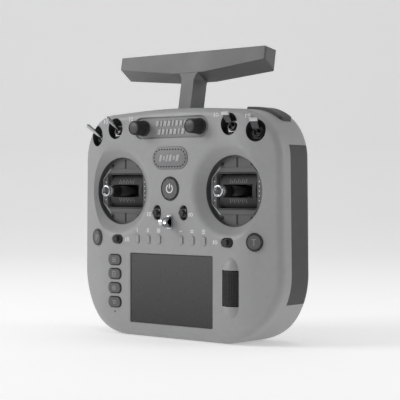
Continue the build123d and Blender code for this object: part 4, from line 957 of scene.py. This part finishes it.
def build_keys(looks):
    """Marks on the keys, dark rings round them and marks over the six position keys."""
    print_top = looks.print_height / MM
    for number, kind in enumerate(("lines", "page", "dial", "back"), 1):
        node = f"menu_key_{number}"
        centre = middle(node)
        bm = bmesh.new()
        glyph(bm, kind, 3.0, -0.1, print_top - 0.03, face_place(centre.x, centre.z, -proud_of_face(node)))
        publish(bm, f"menu_mark_{number}", node, "mark_grey")
        bm = bmesh.new()
        frame_ring(bm, rounded_points(13.4, 8.4, 3.7, 8), rounded_points(12.7, 7.7, 3.3, 8), -0.4, 0.04,
                   face_place(centre.x, centre.z))
        publish(bm, f"menu_ring_{number}", "case", "ring_dark")
    for side, kind in (("left", "bars"), ("right", "corner")):
        node = f"round_key_{side}"
        place = cap_place(node)
        bm = bmesh.new()
        round_ring(bm, 5.72, 4.75, -0.3, 0.03, place)
        publish(bm, f"round_ring_{side}", node, "ring_dark")
        bm = bmesh.new()
        glyph(bm, kind, 3.8, -0.1, print_top, place)
        publish(bm, f"round_mark_{side}", node, "mark_grey")
    marks, bezels = bmesh.new(), bmesh.new()
    for number in range(1, 7):
        centre = middle(f"position_key_{number}")
        place = face_place(centre.x - 0.4, centre.z + 6.4)
        count = (number - 1) % 3 + 1
        for k in range(count):
            x = (k - (count - 1) / 2) * 1.15
            start, end = ((x, -1.3), (x, 1.3)) if number <= 3 else ((-1.1, x), (1.1, x))
            stroke(marks, start, end, 0.62, -0.05, print_top, place)
        frame_ring(bezels, rounded_points(4.9, 7.5, 2.3, 8), rounded_points(3.6, 6.2, 1.75, 8), -0.9, -0.06,
                   face_place(centre.x, centre.z))
    publish(marks, "position_marks", "case", "print_white")
    publish(bezels, "position_bezels", "case", "case_plastic")


def build_print(looks):
    """Generic printed marks on the case beside the trims and the toggles."""
    bm = bmesh.new()
    print_top = looks.print_height / MM
    spots = ((-20.3, 87.9), (18.9, 88.0), (-41.9, 69.4), (41.0, 69.4),
             (-37.8, 156.6), (42.0, 156.6), (68.9, 154.9), (-63.4, 155.2))
    for i, (x, z) in enumerate(spots):
        place = face_place(x, z)
        slanted = moved([(-0.5, -1.5), (0.3, -1.5), (0.7, 1.5), (-0.1, 1.5)], -1.3, 0.0)
        slab(bm, slanted, -0.05, print_top, place)
        if i % 2:
            round_ring(bm, 1.35, 0.75, -0.05, print_top, place, 24, (1.1, 0.0))
        else:
            for level in (-1.1, 0.0, 1.1):
                stroke(bm, (0.2, level), (2.0, level), 0.62, -0.05, print_top, place)
    publish(bm, "case_marks", "case", "print_white")


def build_roller(looks):
    """Finely ribbed roller with smooth shoulders, standing on its upright axle."""
    wide, tall = extent("roller")
    radius, half = wide / 2, tall / 2 - 2.2
    shoulder, pitch = radius - 0.45, 0.95
    profile = [(-half, radius - 3.0, 0.0), (-half, radius - 0.9, 0.0), (-half + 0.3, shoulder, 0.0)]
    groove = -half + 0.5
    while groove < half - 0.9:
        profile += [(groove, shoulder, 0.0), (groove + 0.16, radius - 0.05, 0.32),
                    (groove + 0.72, radius - 0.05, 0.32), (groove + 0.88, shoulder, 0.0)]
        groove += pitch
    profile += [(half - 0.3, shoulder, 0.0), (half, radius - 0.9, 0.0), (half, radius - 3.0, 0.0)]
    bm = bmesh.new()
    place = Matrix.Scale(MM, 4) @ Matrix.Translation(middle("roller"))
    fluted_solid(bm, profile, looks.roller_ribs * 4, place)
    publish(bm, "ribbed_roller", "roller", "knob_rubber", replaced=["roller"])


def build_screen(looks):
    """Dark border printed behind the glass."""
    centre = middle("screen_window")
    wide, tall = extent("screen_window")
    bm = bmesh.new()
    frame_ring(bm, rounded_points(wide - 0.05, tall - 0.05, 1.4), rounded_points(wide - 1.1, tall - 1.1, 0.9),
               -0.06, 0.03, face_place(centre.x, centre.z, -proud_of_face("screen_window")))
    publish(bm, "screen_border", "case", "ring_dark")


def build_back(looks):
    """Finger ridges on the two covers, drives in the screws and a set of vents either side."""
    for node, name, wide, rows in (("battery_door", "battery_lid_ridges", 24.0, 7),
                                   ("module_cover", "module_lid_ridges", 14.0, 5)):
        low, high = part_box(node)
        first = low.z / MM + 6.0
        bm = bmesh.new()
        for i in range(rows):
            slab(bm, rounded_points(wide - abs(i - rows // 2) * 2.4, 0.9, 0.45, 4), -0.3, 0.45,
                 back_place(middle(node).x, first + i * 1.9, high.y / MM), 0.12)
        slab(bm, [(-2.2, 1.0), (2.2, 1.0), (0.0, -1.6)], -0.3, 0.35,
             back_place(middle(node).x, first + rows * 1.9 + 2.2, high.y / MM), 0.1)
        publish(bm, name, node, "case_plastic")
    screw_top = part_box("shell_screws")[1].y / MM
    sockets, vents = bmesh.new(), bmesh.new()
    for across in (-1, 1):
        for x, z in BACK_SCREWS:
            for turn in (0.4, 0.4 + math.pi / 2):
                slab(sockets, moved(rounded_points(2.6, 0.62, 0.1, 1), 0.0, 0.0, turn), -0.2, 0.05,
                     back_place(across * x, z, screw_top))
        for k in range(3):
            slab(vents, rounded_points(12.0, 0.9, 0.45, 4), -0.3, 0.4,
                 back_place(across * 44.0, 92.0 + k * 3.0, CASE_BACK), 0.1)
    publish(sockets, "screw_sockets", "case", "groove_dark")
    publish(vents, "back_vents", "case", "groove_dark")


# ---------------------------------------------------------------- operators
def looks_of(context):
    """User settings of the pieces."""
    return context.scene.transmitter_looks


class TX_OT_finishes(bpy.types.Operator):
    """Make every material and dress the packed model in them"""
    bl_idname = "tx.finishes"
    bl_label = "Finishes"

    def execute(self, context):
        make_finishes(looks_of(context))
        dress_nodes()
        return {"FINISHED"}


def piece_operator(suffix, label, text, build):
    """Operator class that runs one drawing function."""
    def execute(self, context):
        build(looks_of(context))
        return {"FINISHED"}
    return type(f"TX_OT_{suffix}", (bpy.types.Operator,),
                {"__doc__": text, "bl_idname": f"tx.{suffix}", "bl_label": label, "execute": execute})


class TX_OT_stage(bpy.types.Operator):
    """Pale floor and backdrop, soft lights and the camera"""
    bl_idname = "tx.stage"
    bl_label = "Stage"

    def execute(self, context):
        build_stage(context.scene.transmitter_stage)
        return {"FINISHED"}


def area_light(name, place, target, size, power):
    """Soft square light aimed at a point."""
    data = bpy.data.lights.new(name, "AREA")
    data.size = size
    data.energy = power
    lamp = bpy.data.objects.new(name, data)
    bpy.context.scene.collection.objects.link(lamp)
    lamp.location = place
    lamp.rotation_euler = (Vector(target) - Vector(place)).to_track_quat("-Z", "Y").to_euler()


CAMERA_TURN = math.radians(40.5)


def build_stage(stage):
    """Everything round the object, in metres."""
    scene = bpy.context.scene
    bm = bmesh.new()
    sweep = [(-4.0, 0.0), (1.2, 0.0), (1.6, 0.05), (1.95, 0.2), (2.2, 0.5), (2.3, 0.9), (2.3, 4.0)]
    before = [bm.verts.new((-5.0, y, z)) for y, z in sweep]
    edges = [bm.edges.new(pair) for pair in zip(before, before[1:])]
    got = bmesh.ops.extrude_edge_only(bm, edges=edges)
    far = [v for v in got["geom"] if isinstance(v, bmesh.types.BMVert)]
    bmesh.ops.translate(bm, verts=far, vec=(10.0, 0.0, 0.0))
    bmesh.ops.rotate(bm, verts=bm.verts, cent=(0.0, 0.0, 0.0), matrix=Matrix.Rotation(CAMERA_TURN, 3, "Z"))
    bmesh.ops.recalc_face_normals(bm, faces=bm.faces)
    mesh = bpy.data.meshes.new("studio_sweep")
    bm.to_mesh(mesh)
    bm.free()
    mesh.shade_smooth()
    material = bpy.data.materials.new("studio_paper")
    material.use_nodes = True
    tree = material.node_tree
    bsdf = tree.nodes["Principled BSDF"]
    where = tree.nodes.new("ShaderNodeTexCoord").outputs["Object"]
    base = mix_colour(tree, noise(tree, where, 3.0), shade(stage.floor_colour, 0.99),
                      shade(stage.floor_colour, 1.01))
    tree.links.new(base, bsdf.inputs["Base Color"])
    bsdf.inputs["Roughness"].default_value = 0.9
    tree.links.new(base, bsdf.inputs["Emission Color"])
    bsdf.inputs["Emission Strength"].default_value = 0.36
    mesh.materials.append(material)
    floor = bpy.data.objects.new("studio_sweep", mesh)
    scene.collection.objects.link(floor)
    floor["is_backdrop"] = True
    area_light("key_light", (-0.95, -1.0, 0.75), (0.0, 0.0, 0.09), 0.8, stage.key_power)
    area_light("rim_light", (1.0, 0.55, 0.45), (0.05, 0.0, 0.09), 0.6, stage.rim_power)
    area_light("top_light", (0.1, -0.1, 1.5), (0.0, 0.0, 0.1), 1.2, stage.key_power * 0.5)
    world = bpy.data.worlds.new("studio")
    world.use_nodes = True
    sky = world.node_tree.nodes["Background"]
    sky.inputs["Color"].default_value = (1.0, 1.0, 1.0, 1.0)
    sky.inputs["Strength"].default_value = 0.20
    scene.world = world
    data = bpy.data.cameras.new("main_view")
    data.lens = stage.lens
    data.sensor_width = 36.0
    data.clip_start = 0.02
    camera = bpy.data.objects.new("main_view", data)
    scene.collection.objects.link(camera)
    camera.location = (0.6084, -0.7079, 0.1058)
    camera.rotation_euler = Vector((-0.6494, 0.7604, -0.0084)).to_track_quat("-Z", "Y").to_euler()
    scene.camera = camera
    scene.view_settings.view_transform = "Standard"


PIECES = (
    ("antenna", "Antenna", "Make the folding antenna's visible body", build_antenna),
    ("softened", "Softened parts", "Round the edges of the hook, shoulder keys and covers", build_softened),
    ("gimbal_faces", "Gimbal faces", "Make the steps and marks round the sticks", build_gimbal_faces),
    ("sticks", "Stick ends", "Make the knurled collars and the stick ends", build_sticks),
    ("knobs", "Knobs", "Make the two fluted knobs", build_knobs),
    ("switches", "Toggles", "Make the toggle levers and their nuts", build_switches),
    ("trims", "Trims", "Make the four trim rockers", build_trims),
    ("badge", "Speaker badge", "Make the slotted speaker badge", build_badge),
    ("top_panel", "Top panel", "Make the panel between the knobs", build_top_panel),
    ("power", "Power key", "Make the power key's rings and mark", build_power),
    ("keys", "Key marks", "Make the marks on the keys", build_keys),
    ("case_print", "Case print", "Make the printed marks on the case", build_print),
    ("roller", "Roller", "Make the ribbed roller", build_roller),
    ("screen", "Screen", "Make the screen's printed border", build_screen),
    ("back", "Back", "Make the details on the back", build_back),
)
PIECE_OPERATORS = [piece_operator(*row) for row in PIECES]


class TX_PT_panel(bpy.types.Panel):
    """Lists every step of the build"""
    bl_idname = "TX_PT_panel"
    bl_label = "Transmitter"
    bl_space_type = "VIEW_3D"
    bl_region_type = "UI"
    bl_category = "Transmitter"

    def draw(self, context):
        layout = self.layout
        for settings in (context.scene.transmitter_looks, context.scene.transmitter_stage):
            for label in settings.bl_rna.properties.keys():
                if label not in {"rna_type", "name"}:
                    layout.prop(settings, label)
        for operator in CLASSES[2:-1]:
            layout.operator(operator.bl_idname)


CLASSES = [TransmitterLooks, TransmitterStage, TX_OT_finishes, *PIECE_OPERATORS, TX_OT_stage, TX_PT_panel]


def register():
    for cls in CLASSES:
        bpy.utils.register_class(cls)
    bpy.types.Scene.transmitter_looks = PointerProperty(type=TransmitterLooks)
    bpy.types.Scene.transmitter_stage = PointerProperty(type=TransmitterStage)


def unregister():
    del bpy.types.Scene.transmitter_stage
    del bpy.types.Scene.transmitter_looks
    for cls in reversed(CLASSES):
        bpy.utils.unregister_class(cls)


def main():
    """Build everything in order, then write the sizes."""
    register()
    bpy.ops.tx.finishes()
    for suffix, *_ in PIECES:
        getattr(bpy.ops.tx, suffix)()
    bpy.ops.tx.stage()
    visual_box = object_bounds()
    {"cad": plain(cad_box), "visual": plain(visual_box)}


def plain(box):
    """Box as plain lists of numbers."""
    if isinstance(box, dict):
        return {label: plain(value) for label, value in box.items()}
    if isinstance(box, (list, tuple, Vector)):
        return [plain(value) for value in box]
    return float(box) if isinstance(box, (int, float)) else box


if __name__ == "__main__":
    main()
